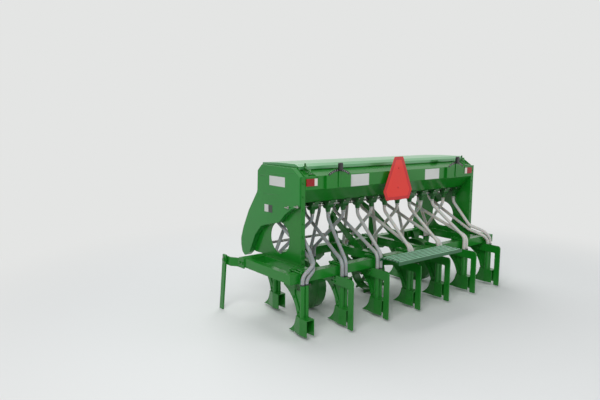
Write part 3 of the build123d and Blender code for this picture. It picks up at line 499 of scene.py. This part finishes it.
# room under the lowest bolt, and under and over the row together
FLANGE_FOOT = 0.03
FLANGE_ROOM = 0.14
plate_low, plate_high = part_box("right_end_plate")
PLATE_OUT = 0.018
flange_run = plate_high.z - plate_low.z - FLANGE_ROOM
form = bmesh.new()
for side in (-1, 1):
    for i in range(FLANGE_BOLTS):
        z = plate_low.z + FLANGE_FOOT + flange_run * i / (FLANGE_BOLTS - 1)
        add_bolt(form, (side * (plate_high.x - PLATE_OUT), plate_low.y, z), (0, -1, 0), FLANGE_BOLT)
add_piece("end_flange_bolts", form, green_enamel)
STITCHES = 6
STITCH = 0.05
STITCH_PITCH = 0.115
STITCH_START = 0.03
STITCH_INSET = 0.020
form = bmesh.new()
for side in (-1, 1):
    x = side * (plate_high.x - PLATE_OUT - STITCH_INSET)
    for i in range(STITCHES):
        y = plate_low.y + STITCH_START + STITCH_PITCH * i
        add_weld(form, (x, y, plate_low.z), (x, y + STITCH, plate_low.z), radius=0.004)
add_piece("end_plate_welds", form, green_enamel)


# Lid latches: at each end a bent strap bolted on the hopper's shoulder, with a handle and a wire bail.
# They are shown let go, so that the lid can open. The lid has one folded pull on its rear lip.
# A darker copy of the hopper's green: painted shade for the cups under the troughs, also used on the latch
# knobs and the slides.
shaded_cup_enamel = enamel("shaded_cup_enamel", linear(16, 92, 26), roughness=0.34, dust=0.1, edge=0.003)
LATCH_X = 0.941
LATCH_Y = -0.1445
SHOULDER = (LATCH_X, LATCH_Y - 0.012, 1.1585)
SHOULDER_SLOPE = 21.9
# corners and screws of the strap's foot, from the shoulder
FOOT_PLATE = ((-0.022, -0.026, 0.0), (0.022, 0.016, 0.004))
FOOT_SCREWS = ((-0.013, -0.014, 0.004), (0.013, -0.014, 0.004))
FOOT_SCREW = 0.010
# corners of the strap, from its own upright axis
STRAP = ((-0.012, -0.002, 1.160), (0.012, 0.002, 1.204))
STRAP_BEVEL = 0.0012
PIVOT = (LATCH_X + 0.008, LATCH_Y - 0.010, 1.184)
PIVOT_BOLT = 0.013
HANDLE_TOP = (0.962, LATCH_Y - 0.005, 1.202)
HANDLE_FOOT = (0.877, -0.226, 1.118)
HANDLE_HALF = (0.009, 0.0022)
HANDLE_BEVEL = 0.0015
BAIL_R = 0.0028
BAIL_WIDTH = 0.012
BAIL_TOP = (0.914, -0.166, 1.178)
BAIL_FOOT = (0.956, -0.208, 1.1445)
# share of their distance at the top that the bail's two wires still have at the foot
BAIL_SPREAD = 0.4
KNOB = ((0.0085, 1.203, 1.224, 18, 0.0065),)


def at_end(side, spot, dy=0.0):
    """A point of the right end, or mirrored to the left end, moved back by dy."""
    x, y, z = spot
    return Vector((side * x, y - dy, z))


def add_block(form, low, high, bevel=0.0, segments=2, place=Matrix()):
    """A box between two corners, given in the place's own axes, with rounded edges."""
    low, high = Vector(low), Vector(high)
    size = high - low
    middle = (low + high) / 2
    matrix = place @ Matrix.Translation(middle) @ Matrix.Diagonal((*size, 1.0))
    made = bmesh.ops.create_cube(form, size=1.0, matrix=matrix)["verts"]
    if bevel:
        edges = list({edge for vert in made for edge in vert.link_edges})
        bmesh.ops.bevel(
            form,
            geom=edges,
            offset=bevel,
            offset_type="OFFSET",
            segments=segments,
            profile=0.5,
            affect="EDGES",
            material=-1,
        )


def add_stack(form, matrix, stack):
    """Discs on one axis: each radius, low end, high end and sides, then a cone's tip radius."""
    for disc in stack:
        add_disc(form, matrix, *disc)


form = bmesh.new()
knobs = bmesh.new()
for side in (-1, 1):
    upright = Matrix.Translation((side * LATCH_X, LATCH_Y, 0))
    shoulder = Matrix.Translation(at_end(side, SHOULDER)) @ turned(SHOULDER_SLOPE, "X")
    add_block(form, *FOOT_PLATE, bevel=STRAP_BEVEL, place=shoulder)
    up = shoulder.to_3x3() @ Vector((0, 0, 1))
    for screw in FOOT_SCREWS:
        add_bolt(form, shoulder @ Vector(screw), up, FOOT_SCREW)
    add_block(form, *STRAP, bevel=STRAP_BEVEL, place=upright)
    top = at_end(side, HANDLE_TOP)
    run = at_end(side, HANDLE_FOOT) - top
    dx, dy = HANDLE_HALF
    grip = ((-dx, -dy, 0.0), (dx, dy, run.length))
    add_block(form, *grip, bevel=HANDLE_BEVEL, place=outward(top, run))
    add_bolt(form, at_end(side, PIVOT), (0, -1, 0), PIVOT_BOLT)
    for shift in (0.0, BAIL_WIDTH):
        top = at_end(side, BAIL_TOP, shift)
        run = at_end(side, BAIL_FOOT, shift * BAIL_SPREAD) - top
        add_disc(form, outward(top, run), BAIL_R, 0.0, run.length, sides=10)
    add_stack(knobs, upright, KNOB)
add_piece("lid_latches", form, green_enamel)
add_piece("latch_knobs", knobs, shaded_cup_enamel)
lid_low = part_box("lid")[0]
PULL_REACH = 0.013
# from and to X, how far its front lies behind the lip, height over the lip's foot
PULL_BLOCKS = (
    (0.505, 0.607, 0.0, 0.007),
    (0.520, 0.592, 0.009, 0.018),
)
form = bmesh.new()
for x0, x1, behind, rise in PULL_BLOCKS:
    rear_low = (x0, lid_low.y - PULL_REACH, lid_low.z + 0.003)
    front_high = (x1, lid_low.y - behind, lid_low.z + rise)
    add_block(form, rear_low, front_high, bevel=0.0018)
add_piece("lid_pull", form, green_enamel, body="lid")


# Chain cover: a pressed steel box on the left end plate, held by two wing-headed screws.
# Two swages stiffen it. It carries plain white stickers, as does the band behind the hopper.
cover_enamel = enamel("cover_enamel", linear(26, 128, 44), edge=0.008)
dress(cover_enamel, "chain_cover")


def sticker(name, colour):
    """Plain vinyl film with slightly worn, dusty edges."""
    return enamel(name, colour, roughness=0.38, dust=0.1, edge=0.0004, coat=0.15)


def add_film(name, low, high, finish):
    """A thin plain sheet between two corners."""
    form = bmesh.new()
    add_block(form, low, high, bevel=0.0005, segments=1)
    add_piece(name, form, finish)


white_sticker = sticker("white_sticker", linear(206, 208, 204))
dark_sticker = sticker("dark_sticker", linear(60, 70, 62))
dress(white_sticker, "rear_label")
cover_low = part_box("chain_cover")[0]
FILM = 0.0012
# name, y from the cover's rear edge, z, width, height, finish
COVER_STICKERS = (
    ("cover_label", 0.277, 1.079, 0.202, 0.074, white_sticker),
    ("small_cover_label", 0.420, 0.858, 0.054, 0.058, white_sticker),
    ("small_cover_label_dark", 0.366, 0.858, 0.052, 0.058, dark_sticker),
)
for name, y, z, width, height, finish in COVER_STICKERS:
    y += cover_low.y
    low = (cover_low.x - FILM, y - width / 2, z - height / 2)
    high = (cover_low.x, y + width / 2, z + height / 2)
    add_film(name, low, high, finish)
band_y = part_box("hopper")[0].y
add_film("second_rear_label", (0.325, band_y - FILM, 1.036), (0.518, band_y, 1.127), white_sticker)

SWAGE_R = 0.0045
SWAGE_SINK = 0.0025
SWAGES = (
    # y from the cover's rear edge, z
    ((0.500, 1.108), (0.230, 1.141), (0.070, 1.156)),
    ((0.444, 0.970), (0.261, 0.977)),
)
form = bmesh.new()
for line in SWAGES:
    spots = [Vector((cover_low.x + SWAGE_SINK, cover_low.y + y, z)) for y, z in line]
    for start, end in zip(spots, spots[1:]):
        add_disc(form, outward(start, end - start), SWAGE_R, 0.0, (end - start).length, sides=16)
    for spot in spots:
        ball = Matrix.Translation(spot)
        bmesh.ops.create_uvsphere(form, u_segments=16, v_segments=8, radius=SWAGE_R, matrix=ball)
add_piece("cover_swages", form, cover_enamel)


def plated_steel_group():
    """Fine drawn lines and a cloudy shine of zinc on steel."""
    inputs = {"Colour": "Color", "Roughness": "Float", "Edge": "Float"}
    group, given, result = new_group("plated_steel", inputs)
    cloud = noise(group, 55.0, detail=6.0)
    tone = uneven(group, given["Colour"], cloud, 0.7, 1.25)
    shine = multiplied(group, cloud, given["Roughness"])
    grain = noise(group, 900.0)
    normal = bumped(group, grain, 0.08, 0.0005, rounded(group, given["Edge"]))
    put_out(group, result, tone, shine, normal)
    return group


plated_steel = plated_steel_group()


def steel(name, colour, roughness=0.6, edge=0.0008):
    """Bare or plated steel; its clouds halve the roughness on the average."""
    inputs = {"Colour": colour, "Roughness": roughness, "Edge": edge}
    metal, shader = grouped_material(name, plated_steel, inputs)
    set_inputs(shader, {"Metallic": 1.0})
    return metal


zinc_steel = steel("zinc_steel", linear(176, 176, 170))
# y from the cover's rear edge, z
COVER_SCREWS = ((0.136, 0.896), (0.022, 0.914))
COVER_SCREW = ((0.011, 0.0, 0.003, 20), (0.006, 0.003, 0.012, 16))
# half height and half length of a wing, and how far out it starts and ends
WING_HALF = (0.004, 0.024)
WING_OUT = (0.010, 0.018)
form = bmesh.new()
for y, z in COVER_SCREWS:
    y += cover_low.y
    add_stack(form, outward((cover_low.x, y, z), (-1, 0, 0)), COVER_SCREW)
    dz, dy = WING_HALF
    near, far = WING_OUT
    add_block(form, (cover_low.x - far, y - dy, z - dz), (cover_low.x - near, y + dy, z + dz), bevel=0.0025)
add_piece("cover_wing_screws", form, zinc_steel)


# Metering cups: cast housings under the troughs, painted with the hopper, each with a cover plate and screws.
# Their darker green is painted shade.
# A sheet slide over each cup shuts it off. The feed shafts are bright drawn bar.
dress(shaded_cup_enamel, "seed_cups", "fertiliser_cups")
turned_steel = steel("turned_steel", linear(150, 150, 148), roughness=0.5)
dress(turned_steel, "feed_shafts")
CUP_WIDTH = 0.066
CUP_TOP = 0.028
CUP_SCREW = 0.010
CUP_SCREW_X = 0.022
SLIDE_HALF = 0.024
# the slide and its turned-down lip, from the cup's rear face and its top
# rear y, front y, lowest z, highest z
SLIDE_FOLDS = ((-0.016, 0.010, -0.0025, -0.0005), (-0.018, -0.016, -0.016, -0.0005))


def cup_row(name):
    """The lowest and highest corner of a row of cups, and the X of each cup."""
    low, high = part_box(name)
    pitch = (high.x - low.x - CUP_WIDTH) / ROW_GAPS
    return low, high, [k * pitch for k in range(-6, 7)]


for name in ("seed_cups", "fertiliser_cups"):
    low, high, places = cup_row(name)
    screws = bmesh.new()
    slides = bmesh.new()
    for x in places:
        for screw_x in (x - CUP_SCREW_X, x + CUP_SCREW_X):
            add_bolt(screws, (screw_x, low.y, high.z - CUP_TOP / 2), (0, -1, 0), CUP_SCREW)
        for y0, y1, z0, z1 in SLIDE_FOLDS:
            rear_low = (x - SLIDE_HALF, low.y + y0, high.z + z0)
            front_high = (x + SLIDE_HALF, low.y + y1, high.z + z1)
            add_block(slides, rear_low, front_high, bevel=0.0006, segments=1)
    add_piece(name[:-1] + "_screws", screws, zinc_steel)
    add_piece(name[:-1] + "_slides", slides, shaded_cup_enamel)
SHAFT_R = 0.009
COLLAR_R = 0.015
COLLAR_HALF = 0.007
COLLAR_SCREW = 0.008
COLLAR_X = (-0.72, -0.40, 0.40, 0.72)
shaft_low, shaft_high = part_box("feed_shafts")
shaft_z = shaft_low.z + SHAFT_R
form = bmesh.new()
for y in (shaft_low.y + SHAFT_R, shaft_high.y - SHAFT_R):
    for x in COLLAR_X:
        add_sleeve(form, outward((x, y, shaft_z), (1, 0, 0)), SHAFT_R, COLLAR_R, -COLLAR_HALF, COLLAR_HALF)
        add_bolt(form, (x, y, shaft_z + COLLAR_R - 0.0005), (0, 0, 1), COLLAR_SCREW)
add_piece("shaft_collars", form, zinc_steel)


# Hoses: pale ribbed plastic hose, pushed over each cup's spout and into the boot's tube.
# A zinc band clip holds it at the spout, and a black rubber collar closes the tube's mouth.
RIB_PITCH = 0.009
HOSE_PALE_X = 0.15
HOSE_GREY_X = -0.7
# The grooves between the hose's rings are darker: painted shade in the hollows.
HOSE_GROOVE_SHADE = linear(192, 190, 184)
HOSE_RIB = linear(222, 220, 214)
# the bluish grey that the hoses take towards the left end
HOSE_LEFT_TINT = linear(152, 166, 178)


def ribbed_plastic():
    """Milky plastic with the rings of its wound wall, their grooves painted darker as shade, bluish grey
    towards the left end.
    """
    plastic, tree, shader = new_material("hose_plastic")
    place = split(tree, object_place(tree))
    turns = multiplied(tree, place["Z"], 2 * math.pi / RIB_PITCH)
    wave = add_node(tree, "Math", {0: turns}, operation="SINE").outputs[0]
    rib = ranged(tree, wave, "SMOOTHSTEP", from_min=-1.0)
    ringed = mixed(tree, rib, HOSE_GROOVE_SHADE, HOSE_RIB)
    across = ranged(tree, place["X"], "SMOOTHSTEP", from_min=HOSE_PALE_X, from_max=HOSE_GREY_X, to_max=0.75)
    greyed = mixed(tree, across, ringed, HOSE_LEFT_TINT, blend="MULTIPLY")
    tone = uneven(tree, greyed, noise(tree, 9.0, detail=4.0), 0.9, 1.08)
    tree.links.new(tone, shader.inputs["Base Color"])
    tree.links.new(bumped(tree, rib, 0.35, 0.0015), shader.inputs["Normal"])
    set_inputs(shader, {"Roughness": 0.35, "Subsurface Weight": 0.15})
    return plastic


hose_plastic = ribbed_plastic()
dress(hose_plastic, "seed_hoses_rear", "seed_hoses_front", "fertiliser_hoses_rear", "fertiliser_hoses_front")


def moulded_group():
    """Fine grain and faint scuffs of moulded plastic or rubber."""
    inputs = {"Colour": "Color", "Scale": "Float", "Roughness": "Float"}
    group, given, result = new_group("moulded_surface", inputs)
    grain = noise(group, given["Scale"], detail=6.0)
    tone = uneven(group, given["Colour"], grain, 0.75, 1.3)
    scuff = ranged(group, grain, to_min=0.25, to_max=given["Roughness"])
    put_out(group, result, tone, scuff, bumped(group, grain, 0.15, 0.0005))
    return group


moulded_surface = moulded_group()


def moulded(name, colour, roughness):
    inputs = {"Colour": colour, "Scale": 400.0, "Roughness": roughness}
    return grouped_material(name, moulded_surface, inputs)[0]


black_rubber = moulded("black_rubber", linear(34, 34, 34), 0.9)

HOSE_R = 0.014
CLIP_GAP = 0.0002
CLIP_THICK = 0.0014
# lowest and highest edge of the band and of its screw's housing, from the spout's foot
CLIP_Z = (-0.014, -0.005)
HOUSING_Z = (-0.013, -0.006)
HOUSING_OUT = (0.001, 0.006)
HOUSING_HALF = 0.004
form = bmesh.new()
for name in ("seed_cups", "fertiliser_cups"):
    low, high, places = cup_row(name)
    y = (low.y + high.y) / 2
    for x in places:
        spout = Matrix.Translation((x, y, low.z))
        inner = HOSE_R + CLIP_GAP
        add_sleeve(form, spout, inner, inner + CLIP_THICK, *CLIP_Z)
        near, far = (y - HOSE_R - out for out in HOUSING_OUT)
        bottom, top = (low.z + z for z in HOUSING_Z)
        corners = ((x - HOUSING_HALF, far, bottom), (x + HOUSING_HALF, near, top))
        add_block(form, *corners, bevel=0.001, segments=1)
add_piece("spout_clips", form, zinc_steel)
COLLAR_RISE = 0.008
form = bmesh.new()
for row, places in ROW_X.items():
    low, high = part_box(row + "_boots")
    for x in places:
        for dx in (-SOCKET_X, SOCKET_X):
            mouth = Matrix.Translation((x + dx, low.y + TUBE_FROM_HEEL, high.z))
            add_sleeve(form, mouth, HOSE_R + 0.0004, TUBE_R - 0.0005, 0.0, COLLAR_RISE)
add_piece("tube_collars", form, black_rubber)


# Rate quadrants: pressed arches behind the band with a riveted scale, a flat steel lever and a black knob.
# The scale is a black strip with plain pale strokes.
dress(green_enamel, "rate_quadrants", "rate_levers")
black_plastic = moulded("black_plastic", linear(20, 20, 22), 0.45)
dress(black_plastic, "lever_knobs")
low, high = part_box("rate_quadrants")
QUADRANT_WIDTH = 0.244
QUADRANT_R = 0.185
SCALE_INNER = 0.166
SCALE_OUTER = 0.182
SCALE_THICK = 0.0012
SCALE_TURN = 36
STROKE_STEP = SCALE_TURN / 6
STROKE_SIZE = (0.003, 0.0008, 0.009)
STROKE_Y = -0.0015
face_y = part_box("rate_levers")[1].y + 0.002
scale_form = bmesh.new()
stroke_form = bmesh.new()
for x in (low.x + QUADRANT_WIDTH / 2, high.x - QUADRANT_WIDTH / 2):
    centre = Vector((x, face_y, high.z - QUADRANT_R))
    section = ((0, SCALE_INNER), (0, SCALE_OUTER), (-SCALE_THICK, SCALE_OUTER), (-SCALE_THICK, SCALE_INNER))
    turn = turned(SCALE_TURN, "Y")
    corners = [scale_form.verts.new(centre + turn @ Vector((0, dy, r))) for dy, r in section]
    start = scale_form.faces.new(corners)
    bmesh.ops.spin(
        scale_form,
        geom=[start, *start.edges, *corners],
        cent=centre,
        axis=(0, -1, 0),
        angle=math.radians(2 * SCALE_TURN),
        steps=20,
        use_merge=False,
    )
    for i in range(-5, 6):
        out = Matrix.Translation((0, STROKE_Y, (SCALE_INNER + SCALE_OUTER) / 2))
        place = Matrix.Translation(centre) @ turned(i * STROKE_STEP, "Y") @ out
        bmesh.ops.create_cube(stroke_form, size=1.0, matrix=place @ Matrix.Diagonal((*STROKE_SIZE, 1.0)))
add_piece("quadrant_scales", scale_form, black_plastic)
add_piece("quadrant_strokes", stroke_form, white_sticker)


# Footboard: ribbed sheet on two arms, each bolted to the rear beam by four bolts.
# Two round-headed bolts hold the sheet on each arm. Pale rods on the rib crests are painted highlights,
# standing in for the glints on the ribs.
# The footboard's green is tinted towards teal: painted reflection of the sky on its glossy sheet.
dress(enamel("tread_enamel", linear(22, 96, 50), roughness=0.14, dust=0.0, coat=0.6), "footboard")
dress(green_enamel, "footboard_brackets")
BRACKET_BOLT = 0.015
BRACKET_BOLT_X = (0.008, 0.052)
BRACKET_BOLT_EDGE = 0.014
BRACKET_PLATE = 0.008
BRACKET_HALF = 0.030
bracket_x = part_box("footboard_brackets")[1].x
form = bmesh.new()
for side in (-1, 1):
    for dx in BRACKET_BOLT_X:
        for z in (beam_low.z + BRACKET_BOLT_EDGE, beam_high.z - BRACKET_BOLT_EDGE):
            spot = (side * (bracket_x - dx), beam_low.y - BRACKET_PLATE, z)
            add_bolt(form, spot, (0, -1, 0), BRACKET_BOLT)
add_piece("footboard_bolts", form, green_enamel)
tread_low, tread_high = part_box("footboard")
tread_depth = tread_high.y - tread_low.y
TREAD_BOLT = ((0.009, 0.0, 0.0035, 18, 0.005),)
TREAD_BOLT_DROP = 0.0045
form = bmesh.new()
for side in (-1, 1):
    for share in (1 / 3, 2 / 3):
        y = tread_low.y + tread_depth * share
        spot = Matrix.Translation((side * (bracket_x - BRACKET_HALF), y, tread_high.z - TREAD_BOLT_DROP))
        add_stack(form, spot, TREAD_BOLT)
add_piece("tread_bolts", form, zinc_steel)
# Pale metal rods along the rib crests: painted highlights.
RIB_COUNT = 6
CREST_R = 0.0045
CREST_RISE = 0.0012
CREST_END = 0.016
CREST_STAGGER = 0.006
form = bmesh.new()
for i in range(RIB_COUNT):
    y = tread_low.y + tread_depth * (i + 0.5) / RIB_COUNT
    reach = tread_high.x - CREST_END - CREST_STAGGER * (i % 3)
    crest = outward((-reach, y, tread_high.z - CREST_R + CREST_RISE), (1, 0, 0))
    add_disc(form, crest, CREST_R, 0.0, 2 * reach, sides=16)
add_piece("tread_crests", form, steel("crest_highlight", linear(156, 208, 178), roughness=0.3))


# Warning triangle: fluorescent red sheet with a darker reflective border, on a painted strap.
# Two red dome-headed rivets hold it. The sheet, its border and the rivets carry a faint emission: a painted
# glow.
def painted_glow_sheet(name, colour, glow):
    """Reflective day-glow sheet with a faint emission, a painted glow that makes it a little brighter than
    paint.
    """
    sheet = enamel(name, colour, roughness=0.42, dust=0.1, edge=0.0006, coat=0.25)
    set_inputs(shader_of(sheet), {"Emission Color": colour, "Emission Strength": glow})
    return sheet


dress(painted_glow_sheet("warning_sheet", linear(226, 48, 36), 0.06), "warning_triangle")
dress(green_enamel, "triangle_strap")
border_red = painted_glow_sheet("border_sheet", linear(200, 32, 34), 0.03)
low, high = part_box("warning_triangle")
middle = (low.x + high.x) / 2
MARGIN = 0.004
BORDER = 0.026
BORDER_THICK = 0.0008
# half width, height over the foot
SIGN_POINTS = ((0.135, 0.0), (0.170, 0.074), (0.050, high.z - low.z))
form = bmesh.new()
right = [(middle + half, low.z + rise) for half, rise in SIGN_POINTS]
left = [(middle - half, low.z + rise) for half, rise in reversed(SIGN_POINTS)]
outline = [form.verts.new((x, low.y - BORDER_THICK, z)) for x, z in right + left]
face = form.faces.new(outline)
margin = bmesh.ops.inset_individual(form, faces=[face], thickness=MARGIN, use_even_offset=True)
bmesh.ops.delete(form, geom=margin["faces"], context="FACES")
bmesh.ops.inset_individual(form, faces=[face], thickness=BORDER, use_even_offset=True)
bmesh.ops.delete(form, geom=[face], context="FACES")
walls = bmesh.ops.extrude_face_region(form, geom=form.faces[:])["geom"]
back = [item for item in walls if isinstance(item, bmesh.types.BMVert)]
bmesh.ops.translate(form, verts=back, vec=(0, BORDER_THICK, 0))
add_piece("triangle_border", form, border_red)
RIVET = ((0.007, 0.0, 0.0015, 16), (0.006, 0.0015, 0.0045, 16, 0.003))
RIVET_RISES = (0.10, 0.26)
form = bmesh.new()
for rise in RIVET_RISES:
    add_stack(form, outward((middle, low.y, low.z + rise), (0, -1, 0)), RIVET)
add_piece("triangle_rivets", form, border_red)


# Reflectors: a pale plate at each end of the drill, with a red plastic lens over its outer end.
# The lens is moulded with small prisms on its inside, which throw light back.
LENS_LENGTH = 0.072
LENS_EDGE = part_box("reflectors")[1].x - LENS_LENGTH
LENS_DARK = linear(136, 4, 10)
LENS_BRIGHT = linear(218, 18, 24)
LENS_PLATE = linear(222, 214, 206)


def reflector_finish():
    """Red prism lens at the outer end of the plate, white film on the rest."""
    lens, tree, shader = new_material("reflector_lens")
    place = object_place(tree)
    distance = add_node(tree, "Math", {0: split(tree, place)["X"]}, operation="ABSOLUTE").outputs[0]
    outside = add_node(tree, "Math", {0: distance, 1: LENS_EDGE}, operation="GREATER_THAN").outputs[0]
    cells = add_node(tree, "TexVoronoi", {"Vector": place, "Scale": 260.0}, feature="DISTANCE_TO_EDGE")
    prism = cells.outputs["Distance"]
    colour = mixed(tree, outside, LENS_PLATE, mixed(tree, prism, LENS_DARK, LENS_BRIGHT))
    tree.links.new(colour, shader.inputs["Base Color"])
    tree.links.new(bumped(tree, prism, 0.3, 0.001), shader.inputs["Normal"])
    set_inputs(shader, {"Roughness": 0.18, "Specular IOR Level": 0.3, "Coat Weight": 0.2})
    return lens


dress(reflector_finish(), "reflectors")


# Hitch: flame-cut and welded plate, painted with the frame. The lower pins are bright turned steel.
# Each post is bolted through the front beam, and a spring pin with a ring locks each lower pin.
dress(green_enamel, "lower_hitch_brackets", "mast_posts", "top_clevis", "mast_braces")
dress(turned_steel, "lower_hitch_pins")
pin_low, pin_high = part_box("lower_hitch_pins")
PIN_Y = (pin_low.y + pin_high.y) / 2
PIN_Z = (pin_low.z + pin_high.z) / 2
PIN_R = 0.014
LYNCH_FROM_END = 0.012
LYNCH_PIN = ((0.0045, -0.024, 0.022, 14), (0.007, PIN_R - 0.002, 0.022, 14))
# inner and outer radius, and where it starts and ends along the machine
LYNCH_RING = (0.0165, 0.0195, 0.006, 0.009)
RING_BACK = 0.001
RING_RISE = 0.012
form = bmesh.new()
rings = bmesh.new()
for side in (-1, 1):
    x = side * (pin_high.x - LYNCH_FROM_END)
    add_stack(form, Matrix.Translation((x, PIN_Y, PIN_Z)), LYNCH_PIN)
    eye = outward((x, PIN_Y - RING_BACK, PIN_Z + RING_RISE), (0, 1, 0))
    add_sleeve(rings, eye, *LYNCH_RING)
add_piece("lynch_pins", form, zinc_steel)
add_piece("lynch_rings", rings, zinc_steel)
POST_HALF = 0.030
POST_PLATE = 0.016
POST_BOLT = 0.018
POST_THREAD = 0.006
POST_BOLT_X = 0.016
POST_BOLT_EDGE = 0.018
post_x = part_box("mast_posts")[1].x - POST_HALF
front_low, front_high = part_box("front_beam")
form = bmesh.new()
for side in (-1, 1):
    for dx in (-POST_BOLT_X, POST_BOLT_X):
        x = side * post_x + dx
        for z in (front_low.z + POST_BOLT_EDGE, front_high.z - POST_BOLT_EDGE):
            add_bolt(form, (x, front_high.y + POST_PLATE, z), (0, 1, 0), POST_BOLT, stub=POST_THREAD)
            add_bolt(form, (x, front_low.y, z), (0, -1, 0), POST_BOLT)
add_piece("mast_bolts", form, green_enamel)
BRACKET_THICK = 0.012
bracket_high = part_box("lower_hitch_brackets")[1]
weld_y = front_high.y + 0.001
form = bmesh.new()
for side in (-1, 1):
    for x in (bracket_high.x, bracket_high.x - BRACKET_THICK):
        add_weld(form, (side * x, weld_y, front_low.z), (side * x, weld_y, front_high.z))
add_piece("hitch_welds", form, green_enamel)


# Gauge wheels: a sheet disc and rim welded together, with six bolts round the hub.
# A bead stiffens each rim edge. Hexagon nuts hold the axle between two fork plates.
wheel_enamel = enamel("wheel_enamel", linear(18, 104, 28), roughness=0.3, dust=0.2)
dress(wheel_enamel, "left_gauge_wheel", "right_gauge_wheel", "gauge_forks")
dress(turned_steel, "gauge_axles")
# a point on each joint's axis
joint_places = {joint["name"]: Vector(joint["pos_m"]) for joint in frame["joints"]}
AXLE_NUT = 0.026
HUB_BOLT = 0.015
HUB_BOLTS = 6
HUB_BOLT_R = 0.052
DISC_HALF = 0.003
BEAD_X = 0.035
BEAD_HALF = 0.003
BEAD_DEPTH = (0.008, 0.0006)
axle_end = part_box("gauge_axles")[1].x
nuts = bmesh.new()
for side in ("left", "right"):
    body = side + "_gauge_wheel"
    centre = joint_places[body + "_spin"]
    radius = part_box(body)[1].z / 2
    bolts = bmesh.new()
    beads = bmesh.new()
    for turn in (-1, 1):
        for i in range(HUB_BOLTS):
            around = turned(360 * i / HUB_BOLTS, "X") @ Vector((turn * DISC_HALF, HUB_BOLT_R, 0))
            add_bolt(bolts, centre + around, (turn, 0, 0), HUB_BOLT)
        edge = outward(centre + Vector((turn * BEAD_X, 0, 0)), (1, 0, 0))
        inner, outer = (radius - depth for depth in BEAD_DEPTH)
        add_sleeve(beads, edge, inner, outer, -BEAD_HALF, BEAD_HALF, sides=64)
        end = centre + Vector((turn * (axle_end - abs(centre.x)), 0, 0))
        add_bolt(nuts, end, (turn, 0, 0), AXLE_NUT, stub=0.004)
    add_piece(body + "_bolts", bolts, zinc_steel, body=body)
    add_piece(body + "_beads", beads, wheel_enamel, body=body)
add_piece("gauge_axle_nuts", nuts, zinc_steel)


# Drive wheel: rim, lugs and spokes welded on a hub, on two arms that swing on the cross shaft.
# The shaft turns in three bolted bearings with a grease nipple each.
dress(wheel_enamel, "drive_wheel", "drive_arm")
dress(turned_steel, "drive_axle", "cross_shaft")
dress(green_enamel, "shaft_bearings")
HUB_SCREW = 0.009
HUB_SCREWS = 3
HUB_SCREW_R = 0.0215
hub = joint_places["drive_wheel_spin"]
axle_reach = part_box("drive_axle")[1].x
hub_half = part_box("drive_wheel")[1].x
nuts = bmesh.new()
screws = bmesh.new()
for turn in (-1, 1):
    add_bolt(nuts, hub + Vector((turn * axle_reach, 0, 0)), (turn, 0, 0), AXLE_NUT, stub=0.003)
    for i in range(HUB_SCREWS):
        around = turned(360 * i / HUB_SCREWS, "X") @ Vector((turn * hub_half, HUB_SCREW_R, 0))
        add_bolt(screws, hub + around, (turn, 0, 0), HUB_SCREW)
add_piece("drive_axle_nuts", nuts, zinc_steel, body="drive_arm")
add_piece("drive_hub_screws", screws, zinc_steel, body="drive_wheel")
BEARING_X = (-0.88, -0.14, 0.14)
BEARING_HALF = 0.005
FLANGE = ((0.027, -0.001, 0.006, 32), (0.019, 0.006, 0.013, 32))
NIPPLE = ((0.004, 0.030, 0.036, 6), (0.0026, 0.036, 0.043, 12, 0.0018))
shaft = joint_places["drive_arm_float"]
flanges = bmesh.new()
nipples = bmesh.new()
for x in BEARING_X:
    for turn in (-1, 1):
        face = outward((x + turn * BEARING_HALF, shaft.y, shaft.z), (turn, 0, 0))
        add_stack(flanges, face, FLANGE)
    add_stack(nipples, Matrix.Translation((x, shaft.y, shaft.z)), NIPPLE)
add_piece("bearing_flanges", flanges, green_enamel)
add_piece("grease_nipples", nipples, zinc_steel)


# Parking stands: flat bar legs that swing on a headed pin at the end of a bent arm.
# A cotter through each head keeps the pin from turning. Two bolts hold each arm on the beam's end.
dress(green_enamel, "stand_arms", "left_stand", "right_stand")
ARM_FACE = 1.225
ARM_BOLT = 0.018
# room from the beam's rear and front face
ARM_BOLT_REAR = 0.018
ARM_BOLT_FRONT = 0.014
COTTER_R = 0.0022
COTTER = ((COTTER_R, -0.022, 0.020, 10),)
COTTER_FROM_END = 0.0035
EYE_R = 0.005
EYE_HALF = 0.0016
EYE_RISE = 0.022
cotter_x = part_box("stand_arms")[1].x - COTTER_FROM_END
pin = joint_places["right_stand_fold"]
cotters = bmesh.new()
bolts = bmesh.new()
for side in (-1, 1):
    x = side * cotter_x
    add_stack(cotters, Matrix.Translation((x, pin.y, pin.z)), COTTER)
    eye = outward((x, pin.y, pin.z + EYE_RISE), (1, 0, 0))
    add_sleeve(cotters, eye, COTTER_R, EYE_R, -EYE_HALF, EYE_HALF, sides=16)
    for y in (front_low.y + ARM_BOLT_REAR, front_high.y - ARM_BOLT_FRONT):
        add_bolt(bolts, (side * ARM_FACE, y, pin.z), (side, 0, 0), ARM_BOLT)
add_piece("stand_cotters", cotters, zinc_steel)
add_piece("stand_arm_bolts", bolts, green_enamel)
